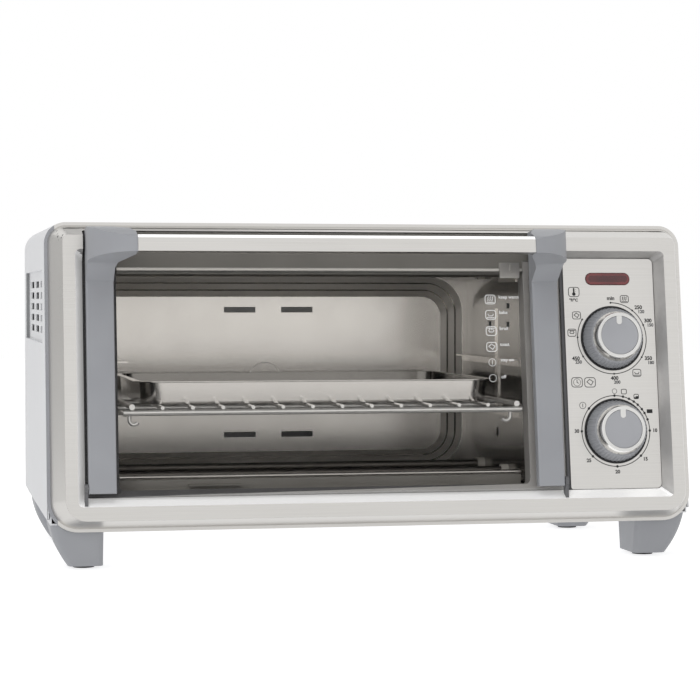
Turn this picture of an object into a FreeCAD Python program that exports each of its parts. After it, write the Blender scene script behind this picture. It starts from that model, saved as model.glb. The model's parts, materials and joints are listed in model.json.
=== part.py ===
import FreeCAD, Part
import math
import os
import re

import Sketcher

# Countertop toaster oven with a leaning front, a drop-down glass door that draws the wire rack
# forward, and a control panel with two rotary knobs. Millimetres, +Z up, +X to the right of a
# person facing the door, +Y towards the back.
#
# Two construction frames are used. The upright frame starts at the counter under the middle of
# the front rim. The leaning frame is the upright frame raised to the rim's lower edge and turned
# back by lean_angle: its x runs along the face, its z up the face and its -y straight out of it.
# Distances out of the face are called "out" below.

SIZES = {
    # Overall shape
    "case_width": 520, "case_depth": 318, "face_length": 242.3, "lean_angle": 8.2,
    "rim_low": 30.5, "centre_y": 133.535,
    # Clearances
    "part_gap": 0.3, "seat_gap": 0.1, "spare": 10,
    # White wrap-round case
    "case_wall": 2, "case_radius": 17, "case_low": 40, "case_spare": 40, "edge_radius": 1,
    "vent_depth": 3.2, "vent_front": 60, "vent_back": 295, "vent_low": 175, "vent_high": 233,
    "vent_margin": 2, "vent_lap": 0.5, "slot_length": 49, "slot_height": 5.4, "slot_first": 89,
    "slot_step": 68, "slot_columns": 3, "row_first": 182.3, "row_step": 9.3, "slot_rows": 5,
    # Moulded front frame
    "lip_width": 2.5, "lip_depth": 3, "boss_out": 12.9, "door_seat": 11.4, "boss_radius": 3,
    "opening_radius": 4, "panel_ledge": 2.4,
    # Stainless bezel
    "bezel_out": 25, "crease_side": 12.5, "crease_low": 7.1, "crease_high": 14.2,
    "band_side": 9.6, "band_low": 10.9, "band_high": 11.1, "bevel_side": 6, "bevel_low": 7.2,
    "bevel_high": 4.2, "recess_depth": 10.6, "rim_radius_high": 17, "rim_radius_low": 24,
    "crease_radius_high": 5, "crease_radius_low": 16.5, "recess_radius": 4, "notch_high": 233.3,
    "notch_left_gap": 0.8, "notch_right_gap": 2.5, "notch_radius": 1.5, "groove_depth": 9,
    "groove_side": 6, "groove_low": 5, "groove_high": 3, "groove_inner": 4, "groove_notch": 2.5,
    # Cooking chamber
    "chamber_left": -205.5, "chamber_right": 122.5, "chamber_low": 60.6, "chamber_high": 240,
    "chamber_back": 197, "chamber_wall": 1, "mouth_low": 31, "mouth_high": 214.4,
    "trim_sheet": 1, "trim_roll": 6.1, "trim_roll_up": 204.6, "trim_side": 21,
    "catch_left": 102.7, "catch_width": 16.7, "catch_low": 196.5, "catch_high": 209,
    "catch_slot": 1.4, "catch_slot_low": 202.4,
    "bulge_left": -204, "bulge_right": 117.8, "bulge_low": 62, "bulge_high": 229.3,
    "bulge_depth": 42, "bulge_radius": 31, "bulge_radius_left": 14, "bulge_steps": 3,
    "step_draft_side": 2.3, "step_draft_high": 4.9, "step_draft_low": 3.2, "step_ledge": 1.2,
    "step_fall": 1.2, "step_corner": 2.2, "back_radius": 2, "back_boss_x": -52.5, "back_boss_z": 139.3,
    "back_boss_radius": 14.2, "back_boss_height": 0.8,
    "back_slot_left": -75, "back_slot_right": -23.5, "back_slot_high": 200.4,
    "back_slot_low": 89.2, "back_slot_length": 28, "back_slot_height": 4.4,
    "side_slot_front": 62, "side_slot_back": 119, "side_slot_high": 204.5,
    "side_slot_low": 189, "side_slot_length": 10, "side_slot_height": 4,
    "probe_y": 94, "probe_z": 98, "probe_radius": 4,
    "partition_gap": 9, "partition_high": 256.5, "partition_end": 30,
    # Door
    "glass_left": -231, "glass_right": 151, "glass_low": 27, "glass_high": 232.5,
    "glass_back": 14.4, "glass_thickness": 4.2, "glass_radius": 6, "glass_hole": 3.2,
    "trim_width": 21.4, "trim_inset": 1, "trim_inset_right": 3.9, "trim_low": 28.2,
    "trim_out": 26, "trim_fillet": 1.2, "pivot_up": 32, "pin_radius": 1.6,
    "pin_fit": 0.06, "lug_radius": 3.8, "lug_width": 2.6, "lug_gap": 0.4, "pin_bite": 8,
    "screw_radius": 2, "screw_fit": 0.05, "screw_bite": 4, "screw_head": 5,
    "screw_head_height": 1.6, "screw_from_top": 18, "screw_from_low": 26,
    # Door handle
    "bar_left": -195.8, "bar_right": 112.5, "bar_out": 87.1, "bar_low": 205.3, "bar_high": 218.4,
    "bar_depth": 13, "bar_chamfer": 2.6, "bar_skin": 8, "grip_inset": 0.8, "arm_top": 232.7,
    "arm_root": 184, "arm_foot": 192, "arm_knee_up": 203.6, "arm_knee_out": 44.5,
    "arm_bend": 46, "arm_hollow": 2, "arm_toe": 6, "arm_shoulder": 10, "arm_slope": 20,
    "arm_slope_fall": 6,
    # Control panel
    "panel_left": 155.4, "panel_thickness": 1.5, "panel_radius": 2, "dial_x": 194.7,
    "temperature_up": 147.3, "timer_up": 72, "lens_x": 192.9, "lens_up": 195.8,
    "lens_length": 36.9, "lens_height": 9.4, "lens_proud": 0.9, "lens_flange": 1.8,
    "lens_flange_depth": 2, "lens_flat": 0.1, "window_edge": 5, "holder_length": 28,
    "holder_height": 10, "holder_depth": 10, "holder_wall": 2, "lamp_radius": 2.8,
    # Rotary knobs
    "knob_gap": 0.5, "knob_radius": 24.8, "knob_top_radius": 21.2, "skirt_height": 13,
    "ring_radius": 20.8, "ring_top_radius": 18, "ring_height": 7, "cap_radius": 15.4,
    "cap_height": 6.7, "shaft_radius": 3, "shaft_fit": 0.06, "hole_fit": 0.8, "grip_count": 24,
    "grip_start": 2.5, "grip_radius": 1.74, "grip_end_radius": 5.34, "grip_set_out": 0.44,
    "unit_depth": 26, "unit_width": 40, "unit_height": 38, "shaft_inside": 20,
    "shaft_reach": 11, "bell_radius": 14, "bell_height": 7,
    # Heaters
    "rod_radius": 3.3, "rod_front": 62, "rod_back": 138, "rod_high": 232, "rod_low": 68.5,
    "cap_length": 6, "cap_radius_outer": 5, "bracket_front": 36, "bracket_back": 88,
    "bracket_low": 224, "bracket_high": 239, "reflector_inset": 8, "reflector_front": 36,
    "reflector_back": 176, "reflector_lip": 7,
    # Rack and bake pan
    "rail_y": 5, "rail_z": 121.8, "rail_radius": 2.3, "rail_left": -201.3, "rail_right": 118.3,
    "middle_rail_y": 88, "rear_rail_y": 182, "wire_radius": 1.5, "side_wire_radius": 2.3,
    "wire_left": -194.5, "wire_right": 113.8, "wire_gaps": 13, "hook_drop": 9,
    "hook_left_out": 2, "hook_right_in": 5, "hook_turn": 3.5, "hook_sweep": 150, "runner_front": 24,
    "runner_width": 10, "runner_height": 6, "runner_sheet": 1.2, "runner_step": 42,
    "strip_front": 88, "strip_width": 10, "strip_high": 202, "pan_left": -190,
    "pan_right": 104, "pan_front": 22, "pan_back": 224, "pan_height": 18, "pan_draft": 1.5,
    "pan_rim": 5, "pan_wall": 0.9, "pan_radius": 17,
    # Crumb tray
    "tray_thickness": 0.8, "tray_side": 2, "tray_lip": 12, "tray_roll": 1.8,
    "tray_inset": 2, "tray_front": 14,
    "tray_end": 3, "pull_left": -150, "pull_length": 42, "pull_reach": 8, "pull_up": 3.4,
    "pull_thickness": 1.2,
    # Base and feet
    "base_low": 36, "base_sheet": 1.2, "base_side": 18, "base_rear": 14, "stand_inset": 30,
    "stand_width": 30, "stand_front": 40, "stand_back": 180, "foot_inner": 216,
    "foot_set_in": 2.5, "foot_middle": 253, "foot_outer": 243.2, "foot_front_y": 33,
    "foot_rear_y": 244, "foot_length": 52, "foot_toe": 40, "foot_low": 2.6, "foot_radius": 5,
    "pad_x": 230, "pad_radius": 8.4, "pad_stem": 6.8, "pad_sunk": 1.4,
    "foot_screw_radius": 4, "foot_screw_height": 2.4,
    # Rear cover and inlet
    "cover_thickness": 1.5, "cover_radius": 3, "cover_slot_left": -190, "cover_slot_low": 120,
    "cover_slot_length": 40, "cover_slot_height": 5, "cover_slot_step": 60,
    "cover_row_step": 14, "cover_columns": 6, "cover_rows": 8, "cover_screw_radius": 3.6,
    "cover_screw_height": 2.2, "cover_screw_in": 9, "cover_screw_low": 54,
    "cover_screw_middle": 150, "cover_screw_drop": 24, "gland_x": 205, "gland_z": 72,
    "gland_radius": 8, "gland_fit": 0.05, "gland_inside": 6, "gland_length": 12,
    "gland_flange": 3, "gland_bore": 3.6, "terminal_left": 183, "terminal_length": 40,
    "terminal_front": 240, "terminal_depth": 16, "terminal_height": 14,
}
REACH = 400

doc = FreeCAD.newDocument("toaster_oven")
sheet = doc.addObject("Spreadsheet::Sheet", "dims")
for row, (alias, number) in enumerate(SIZES.items(), start=1):
    sheet.set(f"A{row}", alias)
    sheet.set(f"B{row}", str(number))
    sheet.setAlias(f"B{row}", alias)
doc.recompute()

NAMES = re.compile(r"\b(" + "|".join(sorted(SIZES, key=len, reverse=True)) + r")\b")
NODES = []

BEZEL_FLOOR = "(bezel_out - recess_depth)"
RECESS_SIDE = "(case_width / 2 - crease_side - band_side - bevel_side)"
RECESS_LOW = "(crease_low + band_low + bevel_low)"
RECESS_HIGH = "(face_length - crease_high - band_high - bevel_high)"
GLASS_FRONT = "(glass_back + glass_thickness)"
PIVOT_OUT = f"({GLASS_FRONT} + lug_gap + lug_radius)"
TRIM_LEFT = "(glass_left + trim_inset)"
SCREW_ROWS = ("(glass_high - screw_from_top)", "(trim_low + screw_from_low)")
TRIM_RIGHT = "(glass_right - trim_inset_right)"
PAN_LOW = "(rail_z + rail_radius + 2 * wire_radius + part_gap)"
CASE_TOP = "(rim_low + face_length * cos(lean_angle))"


def linked(formula):
    """Write a formula of size names as an expression on the sheet."""
    return NAMES.sub(r"dims.\g<0>", str(formula))


def value(formula):
    """Work out a formula of size names as a plain number."""
    return float(sheet.evalExpression(str(formula)))


def tie(obj, **formulas):
    """Bind properties of an object to formulas of size names."""
    for prop, formula in formulas.items():
        obj.setExpression(prop.replace("__", "."), linked(formula))


def block(name, x, y, z):
    """A box between two formulas on each axis."""
    box = doc.addObject("Part::Box", name)
    for side, axis, (low, high) in zip(("Length", "Width", "Height"), "xyz", (x, y, z)):
        box.setExpression(side, linked(f"({high}) - ({low})"))
        box.setExpression(f"Placement.Base.{axis}", linked(low))
    return box


TURNS = {
    "x": FreeCAD.Rotation(FreeCAD.Vector(0, 1, 0), 90),
    "y": FreeCAD.Rotation(FreeCAD.Vector(1, 0, 0), -90),
    "out": FreeCAD.Rotation(FreeCAD.Vector(1, 0, 0), 90),
    "z": FreeCAD.Rotation(),
}


def along(obj, direction, at):
    """Stand a primitive at a point with its own axis along a direction."""
    obj.Placement.Rotation = TURNS[direction]
    for axis, formula in zip("xyz", at):
        obj.setExpression(f"Placement.Base.{axis}", linked(formula))
    return obj


def rod(name, direction, at, radius, length):
    """A cylinder from a point along a direction."""
    cylinder = doc.addObject("Part::Cylinder", name)
    tie(cylinder, Radius=radius, Height=length)
    return along(cylinder, direction, at)


def cone(name, direction, at, start, end, length):
    """A cone from a point along a direction."""
    solid = doc.addObject("Part::Cone", name)
    tie(solid, Radius1=start, Radius2=end, Height=length)
    return along(solid, direction, at)


def join(name, parts):
    """One solid from several that touch or overlap."""
    fused = doc.addObject("Part::MultiFuse", name)
    fused.Shapes = parts
    return fused


def group(name, parts):
    """Several separate solids kept together."""
    compound = doc.addObject("Part::Compound", name)
    compound.Links = parts
    return compound


def cut(name, base, tools):
    """A solid with others taken away."""
    result = doc.addObject("Part::Cut", name)
    result.Base = base
    result.Tool = tools[0] if len(tools) == 1 else group(name + "_tools", tools)
    return result


def lean(name, parts):
    """Parts of the leaning frame, gathered for use in the upright frame."""
    compound = group(name, parts)
    compound.Placement.Rotation = FreeCAD.Rotation(FreeCAD.Vector(1, 0, 0), -1)
    tie(compound, Placement__Base__z="rim_low", Placement__Rotation__Angle="-lean_angle")
    return compound


def front_cutter(name):
    """Everything ahead of the plane where the front frame's back lies."""
    return lean(f"{name}_front_cut", [block(f"{name}_front_block", (-REACH, REACH),
                                            (-REACH, "lip_depth"), (-REACH, REACH))])


def node(label, obj, leaning=False):
    """Name a finished sub-part and stand it in the part's own frame."""
    if obj.TypeId.startswith("Part::") and obj.TypeId not in ("Part::Cut", "Part::MultiFuse",
                                                              "Part::Compound", "Part::Feature"):
        obj = group(label + "_piece", [obj])
    obj.Label = label
    if leaning:
        obj.Placement.Rotation = FreeCAD.Rotation(FreeCAD.Vector(1, 0, 0), -1)
        tie(obj, Placement__Base__z="rim_low", Placement__Rotation__Angle="-lean_angle")
    tie(obj, Placement__Base__y="-centre_y")
    NODES.append(obj)
    return obj


def new_sketch(body, name, plane, offset):
    """A sketch parallel to one of its body's origin planes."""
    sketch = body.newObject("Sketcher::SketchObject", name)
    origin = next(item for item in body.Origin.OriginFeatures if item.Role == plane)
    sketch.AttachmentSupport = [(origin, "")]
    sketch.MapMode = "FlatFace"
    sketch.setExpression("AttachmentOffset.Base.z", linked(offset))
    return sketch


def outline(sketch, left, right, low, high, radii):
    """Add a rounded rectangle. Its radii run anticlockwise from the low right corner."""
    l, r, b, t = (value(formula) for formula in (left, right, low, high))
    radius = [value(formula) for formula in radii]
    centres = ((r - radius[0], b + radius[0]), (r - radius[1], t - radius[1]),
               (l + radius[2], t - radius[2]), (l + radius[3], b + radius[3]))
    arcs = []
    for turn, (centre, size) in enumerate(zip(centres, radius)):
        circle = Part.Circle(FreeCAD.Vector(*centre, 0), FreeCAD.Vector(0, 0, 1), size)
        start = math.radians(90 * turn - 90)
        arcs.append(Part.ArcOfCircle(circle, start, start + math.pi / 2))
    sides = [Part.LineSegment(arc.EndPoint, arcs[(turn + 1) % 4].StartPoint)
             for turn, arc in enumerate(arcs)]
    arc_ids = [sketch.addGeometry(arc, False) for arc in arcs]
    side_ids = [sketch.addGeometry(side, False) for side in sides]
    for turn in range(4):
        following = arc_ids[(turn + 1) % 4]
        sketch.addConstraint(Sketcher.Constraint("Tangent", arc_ids[turn], 2, side_ids[turn], 1))
        sketch.addConstraint(Sketcher.Constraint("Tangent", side_ids[turn], 2, following, 1))
        level = "Vertical" if turn % 2 == 0 else "Horizontal"
        sketch.addConstraint(Sketcher.Constraint(level, side_ids[turn]))
        set_size(sketch, "Radius", (arc_ids[turn],), radii[turn])
    for side, direction, formula in ((0, "DistanceX", right), (2, "DistanceX", left),
                                     (1, "DistanceY", high), (3, "DistanceY", low)):
        set_distance(sketch, direction, (side_ids[side], 1), formula)


def disc(sketch, across, up, radius):
    """Add a circle held by its centre and its radius."""
    centre = FreeCAD.Vector(value(across), value(up), 0)
    circle = sketch.addGeometry(Part.Circle(centre, FreeCAD.Vector(0, 0, 1), value(radius)), False)
    set_size(sketch, "Radius", (circle,), radius)
    set_distance(sketch, "DistanceX", (circle, 3), across)
    set_distance(sketch, "DistanceY", (circle, 3), up)


def set_size(sketch, kind, items, formula):
    """Add one dimension and bind it to its formula."""
    index = sketch.addConstraint(Sketcher.Constraint(kind, *items, value(formula)))
    sketch.setExpression(f"Constraints[{index}]", linked(formula))


def set_distance(sketch, direction, place, formula):
    """Hold a point of the sketch at a signed distance from its origin."""
    if value(formula) < 0:
        set_size(sketch, direction, (*place, -1, 1), f"-({formula})")
    else:
        set_size(sketch, direction, (-1, 1, *place), formula)


def feature(body, kind, name, sketch, **settings):
    """A PartDesign feature made from a sketch."""
    made = body.newObject("PartDesign::" + kind, name)
    made.Profile = sketch
    for prop, setting in settings.items():
        if isinstance(setting, str) and prop == "Length":
            tie(made, Length=setting)
        else:
            setattr(made, prop, setting)
    sketch.Visibility = False
    return made


def rounded(body, name, plane, offset, x, y, radii):
    """A sketch holding one rounded rectangle."""
    sketch = new_sketch(body, name, plane, offset)
    outline(sketch, *x, *y, radii)
    return sketch


def same(radius):
    """The same radius at all four corners."""
    return (radius,) * 4


def face_radii(high, low):
    """Corner radii of an outline on the face."""
    return (low, high, high, low)


def bezel():
    """Stainless frame: a chamfer rises to a flat band, then a bevel drops into the recess."""
    body = doc.addObject("PartDesign::Body", "bezel")
    half = "case_width / 2"
    rim = rounded(body, "bezel_rim", "XZ_Plane", "0",
                  (f"-({half} - lip_width)", f"{half} - lip_width"),
                  ("lip_width", "face_length - lip_width"),
                  face_radii("rim_radius_high - lip_width", "rim_radius_low - lip_width"))
    crease = rounded(body, "bezel_crease", "XZ_Plane", "bezel_out",
                     (f"-({half} - crease_side)", f"{half} - crease_side"),
                     ("crease_low", "face_length - crease_high"),
                     face_radii("crease_radius_high", "crease_radius_low"))
    feature(body, "AdditiveLoft", "bezel_chamfer", rim, Sections=[crease], Ruled=True)
    band = f"({half} - crease_side - band_side)"
    edge = rounded(body, "bezel_edge", "XZ_Plane", "bezel_out", (f"-{band}", band),
                   ("crease_low + band_low", "face_length - crease_high - band_high"),
                   same("recess_radius"))
    floor = rounded(body, "bezel_floor", "XZ_Plane", BEZEL_FLOOR, (f"-{RECESS_SIDE}", RECESS_SIDE),
                    (RECESS_LOW, RECESS_HIGH), same("recess_radius"))
    feature(body, "SubtractiveLoft", "bezel_bevel", edge, Sections=[floor], Ruled=True)
    well = rounded(body, "bezel_well", "XZ_Plane", BEZEL_FLOOR, (f"-{RECESS_SIDE}", RECESS_SIDE),
                   (RECESS_LOW, RECESS_HIGH), same("recess_radius"))
    feature(body, "Pocket", "bezel_opening", well, Length=BEZEL_FLOOR)
    notch = rounded(body, "bezel_notch", "XZ_Plane", "bezel_out",
                    ("glass_left - notch_left_gap", "glass_right + notch_right_gap"),
                    (f"{RECESS_HIGH} - 2 * recess_radius", "notch_high"), same("notch_radius"))
    feature(body, "Pocket", "bezel_door_notch", notch, Length="bezel_out")
    groove = new_sketch(body, "bezel_groove_outline", "XZ_Plane", "0")
    outer = f"({half} - lip_width - groove_side)"
    outline(groove, f"-{outer}", outer, "lip_width + groove_low",
            "face_length - lip_width - groove_high",
            face_radii("rim_radius_high - groove_side", "rim_radius_low - groove_side"))
    inner = f"({RECESS_SIDE} + groove_inner)"
    outline(groove, f"-{inner}", inner, f"{RECESS_LOW} - groove_inner",
            "notch_high + groove_notch", same("recess_radius"))
    feature(body, "Pocket", "bezel_groove", groove, Length="groove_depth", Reversed=True)
    return node("bezel", body, leaning=True)


def front_frame():
    """Moulded frame behind the bezel: a lip round the rim, and a boss with the openings."""
    body = doc.addObject("PartDesign::Body", "front_frame")
    half = "case_width / 2"
    lip = rounded(body, "frame_lip", "XZ_Plane", "-lip_depth", (f"-{half}", half),
                  ("0", "face_length"), face_radii("rim_radius_high", "rim_radius_low"))
    feature(body, "Pad", "frame_plate", lip, Length="lip_depth")
    side = f"({RECESS_SIDE} - part_gap)"
    door = rounded(body, "frame_door_boss", "XZ_Plane", "0",
                   ("glass_left - notch_left_gap + part_gap",
                    "glass_right + notch_right_gap - part_gap"),
                   (f"{RECESS_LOW} + part_gap", "notch_high - part_gap"), same("boss_radius"))
    feature(body, "Pad", "frame_door_seat", door, Length="door_seat")
    panel = rounded(body, "frame_panel_boss", "XZ_Plane", "0",
                    ("panel_left - panel_ledge", side),
                    (f"{RECESS_LOW} + part_gap", f"{RECESS_HIGH} - part_gap"),
                    same("boss_radius"))
    feature(body, "Pad", "frame_panel_seat", panel, Length="boss_out")
    openings = new_sketch(body, "frame_openings", "XZ_Plane", "boss_out")
    outline(openings, "chamber_left", "chamber_right", "mouth_low", "mouth_high",
            same("opening_radius"))
    outline(openings, "panel_left + window_edge", f"{side} - window_edge",
            f"{RECESS_LOW} + window_edge", f"{RECESS_HIGH} - window_edge",
            same("opening_radius"))
    feature(body, "Pocket", "frame_windows", openings, Length="boss_out + lip_depth")
    return node("front_frame", body, leaning=True)


def mouth_trim():
    """Bright sheet above the chamber's mouth, rolled at its lower edge, with a slotted catch."""
    seat = "-door_seat"
    face = f"({seat} - trim_sheet)"
    plate = block("trim_plate", ("glass_left + trim_side", "glass_right - trim_side"),
                  (face, seat), ("trim_roll_up + trim_roll", "arm_top"))
    roll = rod("trim_roll_tube", "x", ("chamber_left + part_gap", f"{face} + trim_roll",
                                       "trim_roll_up"),
               "trim_roll", "chamber_right - chamber_left - 2 * part_gap")
    bend = block("trim_bend", ("chamber_left + part_gap", "chamber_right - part_gap"),
                 (face, seat), ("trim_roll_up", "trim_roll_up + trim_roll + seat_gap"))
    tongue = block("catch_tongue", ("catch_left", "catch_left + catch_width"),
                   (f"{face} - trim_sheet", f"{face}"), ("catch_low", "catch_high"))
    middle = "catch_left + catch_width / 2"
    slot = block("catch_slot_cut", (f"{middle} - catch_slot / 2", f"{middle} + catch_slot / 2"),
                 (f"{face} - spare", face), ("catch_slot_low", "catch_high - trim_sheet"))
    solid = cut("mouth_trim", join("trim_joined", [plate, bend, roll, tongue]), [slot])
    return node("mouth_trim", solid, leaning=True)


def control_panel():
    """Brushed plate with holes for the two shafts and the indicator lens."""
    body = doc.addObject("PartDesign::Body", "control_panel")
    side = f"({RECESS_SIDE} - part_gap)"
    plate = rounded(body, "panel_plate", "XZ_Plane", "boss_out", ("panel_left", side),
                    (f"{RECESS_LOW} + part_gap", f"{RECESS_HIGH} - part_gap"),
                    ("recess_radius", "recess_radius", "panel_radius", "panel_radius"))
    feature(body, "Pad", "panel_sheet", plate, Length="panel_thickness")
    top = "boss_out + panel_thickness"
    holes = new_sketch(body, "panel_holes", "XZ_Plane", top)
    for up in ("temperature_up", "timer_up"):
        disc(holes, "dial_x", up, "shaft_radius + hole_fit")
    length = "(lens_length / 2 + part_gap)"
    height = "(lens_height / 2 + part_gap)"
    outline(holes, f"lens_x - {length}", f"lens_x + {length}", f"lens_up - {height}",
            f"lens_up + {height}", same("lens_height / 2 + part_gap - lens_flat"))
    feature(body, "Pocket", "panel_cutouts", holes, Length="panel_thickness")
    return node("control_panel", body, leaning=True)


def indicator():
    """Red pill lens held from behind by its flange, with the lamp and its holder."""
    body = doc.addObject("PartDesign::Body", "indicator_lens")
    length, height = "lens_length / 2", "lens_height / 2"
    for name, low, rise, grow in (("flange", "boss_out - lens_flange_depth",
                                   "lens_flange_depth", "lens_flange"),
                                  ("face", "boss_out", "panel_thickness + lens_proud", "0")):
        shape = rounded(body, "lens_" + name, "XZ_Plane", low,
                        (f"lens_x - {length} - {grow}", f"lens_x + {length} + {grow}"),
                        (f"lens_up - {height} - {grow}", f"lens_up + {height} + {grow}"),
                        same(f"{height} + {grow} - lens_flat"))
        feature(body, "Pad", f"lens_{name}_pad", shape, Length=rise)
    node("indicator_lens", body, leaning=True)
    back = "-(boss_out - lens_flange_depth)"
    boxes = []
    for name, wall in (("shell", "0"), ("hollow", "holder_wall")):
        across = f"(holder_length / 2 - {wall})"
        tall = f"(holder_height / 2 - {wall})"
        boxes.append(block(f"holder_{name}", (f"lens_x - {across}", f"lens_x + {across}"),
                           (back, f"{back} + holder_depth - {wall}"),
                           (f"lens_up - {tall}", f"lens_up + {tall}")))
    node("lamp_holder", cut("lamp_holder", boxes[0], boxes[1:]), leaning=True)
    lamp_end = "lens_x - holder_length / 2 + holder_wall"
    lamp_back = f"{back} + (holder_depth - holder_wall) / 2"
    node("indicator_lamp", rod("lamp_glass", "x", (lamp_end, lamp_back, "lens_up"),
                               "lamp_radius", "holder_length - 2 * holder_wall"), leaning=True)


def outer_case():
    """White wrap: top and two sides, with a sunk panel of cooling slots in each side."""
    body = doc.addObject("PartDesign::Body", "case_tube")
    half = "case_width / 2"
    shell = rounded(body, "case_outside", "XZ_Plane", "-case_depth", (f"-{half}", half),
                    ("rim_low", CASE_TOP), face_radii("case_radius", "edge_radius"))
    feature(body, "Pad", "case_solid", shell, Length="case_depth + case_spare")
    bore = rounded(body, "case_inside", "XZ_Plane", "case_spare",
                   (f"-({half} - case_wall)", f"{half} - case_wall"),
                   ("rim_low - spare", f"{CASE_TOP} - case_wall"),
                   face_radii("case_radius - case_wall", "edge_radius"))
    feature(body, "Pocket", "case_hollow", bore, Length="case_depth + case_spare")
    backs, tools = [], []
    for side in (-1, 1):
        wall = f"({side} * case_width / 2)"
        inner = sorted((f"{wall} - {side} * (vent_depth + case_wall)",
                        f"{wall} - {side} * vent_lap"), key=value)
        backs.append(block("vent_sheet", inner,
                           ("vent_front - vent_margin", "vent_back + vent_margin"),
                           ("vent_low - vent_margin", "vent_high + vent_margin")))
        outer = sorted((f"{wall} - {side} * vent_depth", f"{wall} + {side} * spare"), key=value)
        tools.append(block("vent_pocket", outer, ("vent_front", "vent_back"),
                           ("vent_low", "vent_high")))
        deep = sorted((f"{wall} - {side} * spare", f"{wall} + {side} * spare"), key=value)
        for column in range(SIZES["slot_columns"]):
            for row in range(SIZES["slot_rows"]):
                start = f"(slot_first + {column} * slot_step)"
                level = f"(row_first + {row} * row_step)"
                tools.append(block("vent_slot", deep, (start, f"{start} + slot_length"),
                                   (level, f"{level} + slot_height")))
    tools.append(block("case_underside", ("-case_width", "case_width"),
                       ("-case_depth", "2 * case_depth"), ("0", "case_low")))
    tools.append(front_cutter("case"))
    return node("outer_case", cut("outer_case", join("case_walls", [body] + backs), tools))


def rear_cover():
    """Sheet cover with cooling slots and the hole for the cord's gland."""
    inside = "(case_width / 2 - case_wall - part_gap)"
    body = doc.addObject("PartDesign::Body", "cover_sheet")
    sheet_outline = rounded(body, "cover_outline", "XZ_Plane", "-case_depth",
                            (f"-{inside}", inside),
                            ("case_low", f"{CASE_TOP} - case_wall - part_gap"),
                            face_radii("case_radius - case_wall", "cover_radius"))
    feature(body, "Pad", "cover_pad", sheet_outline, Length="cover_thickness")
    tools = [rod("gland_hole", "y", ("gland_x", "case_depth - spare", "gland_z"),
                 "gland_radius + gland_fit", "2 * spare")]
    for column in range(SIZES["cover_columns"]):
        for row in range(SIZES["cover_rows"]):
            start = f"(cover_slot_left + {column} * cover_slot_step)"
            level = f"(cover_slot_low + {row} * cover_row_step)"
            tools.append(block("cover_slot", (start, f"{start} + cover_slot_length"),
                               ("case_depth - spare", "case_depth + spare"),
                               (level, f"{level} + cover_slot_height")))
    node("rear_cover", cut("rear_cover", body, tools))
    stem = rod("gland_stem", "y", ("gland_x", "case_depth - gland_inside", "gland_z"),
               "gland_radius", "gland_length")
    flange = rod("gland_rim", "y", ("gland_x", "case_depth", "gland_z"),
                 "gland_radius + gland_flange", "gland_flange")
    bore = rod("gland_hollow", "y", ("gland_x", "case_depth - spare", "gland_z"), "gland_bore",
               "gland_length + spare")
    node("cord_gland", cut("cord_gland", join("gland_solid", [stem, flange]), [bore]))


def base_pan():
    """Folded sheet floor of the case, with a flange up each side inside the wrap."""
    inside = "(case_width / 2 - case_wall - part_gap)"
    far = "case_depth - cover_thickness - part_gap"
    high = "base_low + base_sheet"
    floor = block("base_floor", (f"-{inside}", inside), ("-spare", far), ("base_low", high))
    flanges = [block("base_flange", sides, ("-spare", far), ("base_low", "base_low + base_side"))
               for sides in ((f"-{inside}", f"-{inside} + base_sheet"),
                             (f"{inside} - base_sheet", inside))]
    rear = block("base_rear_flange", (f"-{inside}", inside), (f"{far} - base_sheet", far),
                 ("base_low", "base_low + base_rear"))
    folds = join("base_folds", [floor, rear] + flanges)
    node("base_pan", cut("base_pan", folds, [front_cutter("base")]))


def feet():
    """Four moulded legs that curve in below the case, each on a round rubber pad."""
    spots = (("front_left", -1, "foot_front_y"), ("front_right", 1, "foot_front_y"),
             ("rear_left", -1, "foot_rear_y"), ("rear_right", 1, "foot_rear_y"))
    pads, screws = [], []
    for name, side, y in spots:
        body = doc.addObject("PartDesign::Body", f"leg_{name}")
        levels = []
        for index, (z, reach, length) in enumerate((
                ("base_low - seat_gap", "case_width / 2 - foot_set_in", "foot_length"),
                ("(base_low + foot_low) / 2", "foot_middle", "(foot_length + foot_toe) / 2"),
                ("foot_low", "foot_outer", "foot_toe"))):
            across = sorted((f"{side} * foot_inner", f"{side} * ({reach})"), key=value)
            levels.append(rounded(body, f"leg_{name}_{index}", "XY_Plane", z, across,
                                  (f"{y} - {length} / 2", f"{y} + {length} / 2"),
                                  same("foot_radius")))
        feature(body, "AdditiveLoft", f"leg_{name}_loft", levels[0], Sections=levels[1:])
        socket = rod(f"socket_{name}", "z", (f"{side} * pad_x", y, "foot_low - pad_sunk"),
                     "pad_stem + seat_gap", "2 * pad_sunk")
        node(f"foot_{name}", cut(f"foot_{name}_cut", body, [socket]))
        stem = rod("pad_plug", "z", (f"{side} * pad_x", y, "0"), "pad_stem",
                   "foot_low + pad_sunk - seat_gap")
        tread = rod("pad_tread", "z", (f"{side} * pad_x", y, "0"), "pad_radius",
                    "foot_low - seat_gap")
        pads.append(join("pad", [stem, tread]))
        screws.append(rod("foot_screw", "z", (f"{side} * pad_x", y, "base_low + base_sheet"),
                          "foot_screw_radius", "foot_screw_height"))
    node("foot_pads", group("foot_pads", pads))
    node("foot_screws", group("foot_screws", screws))


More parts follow.
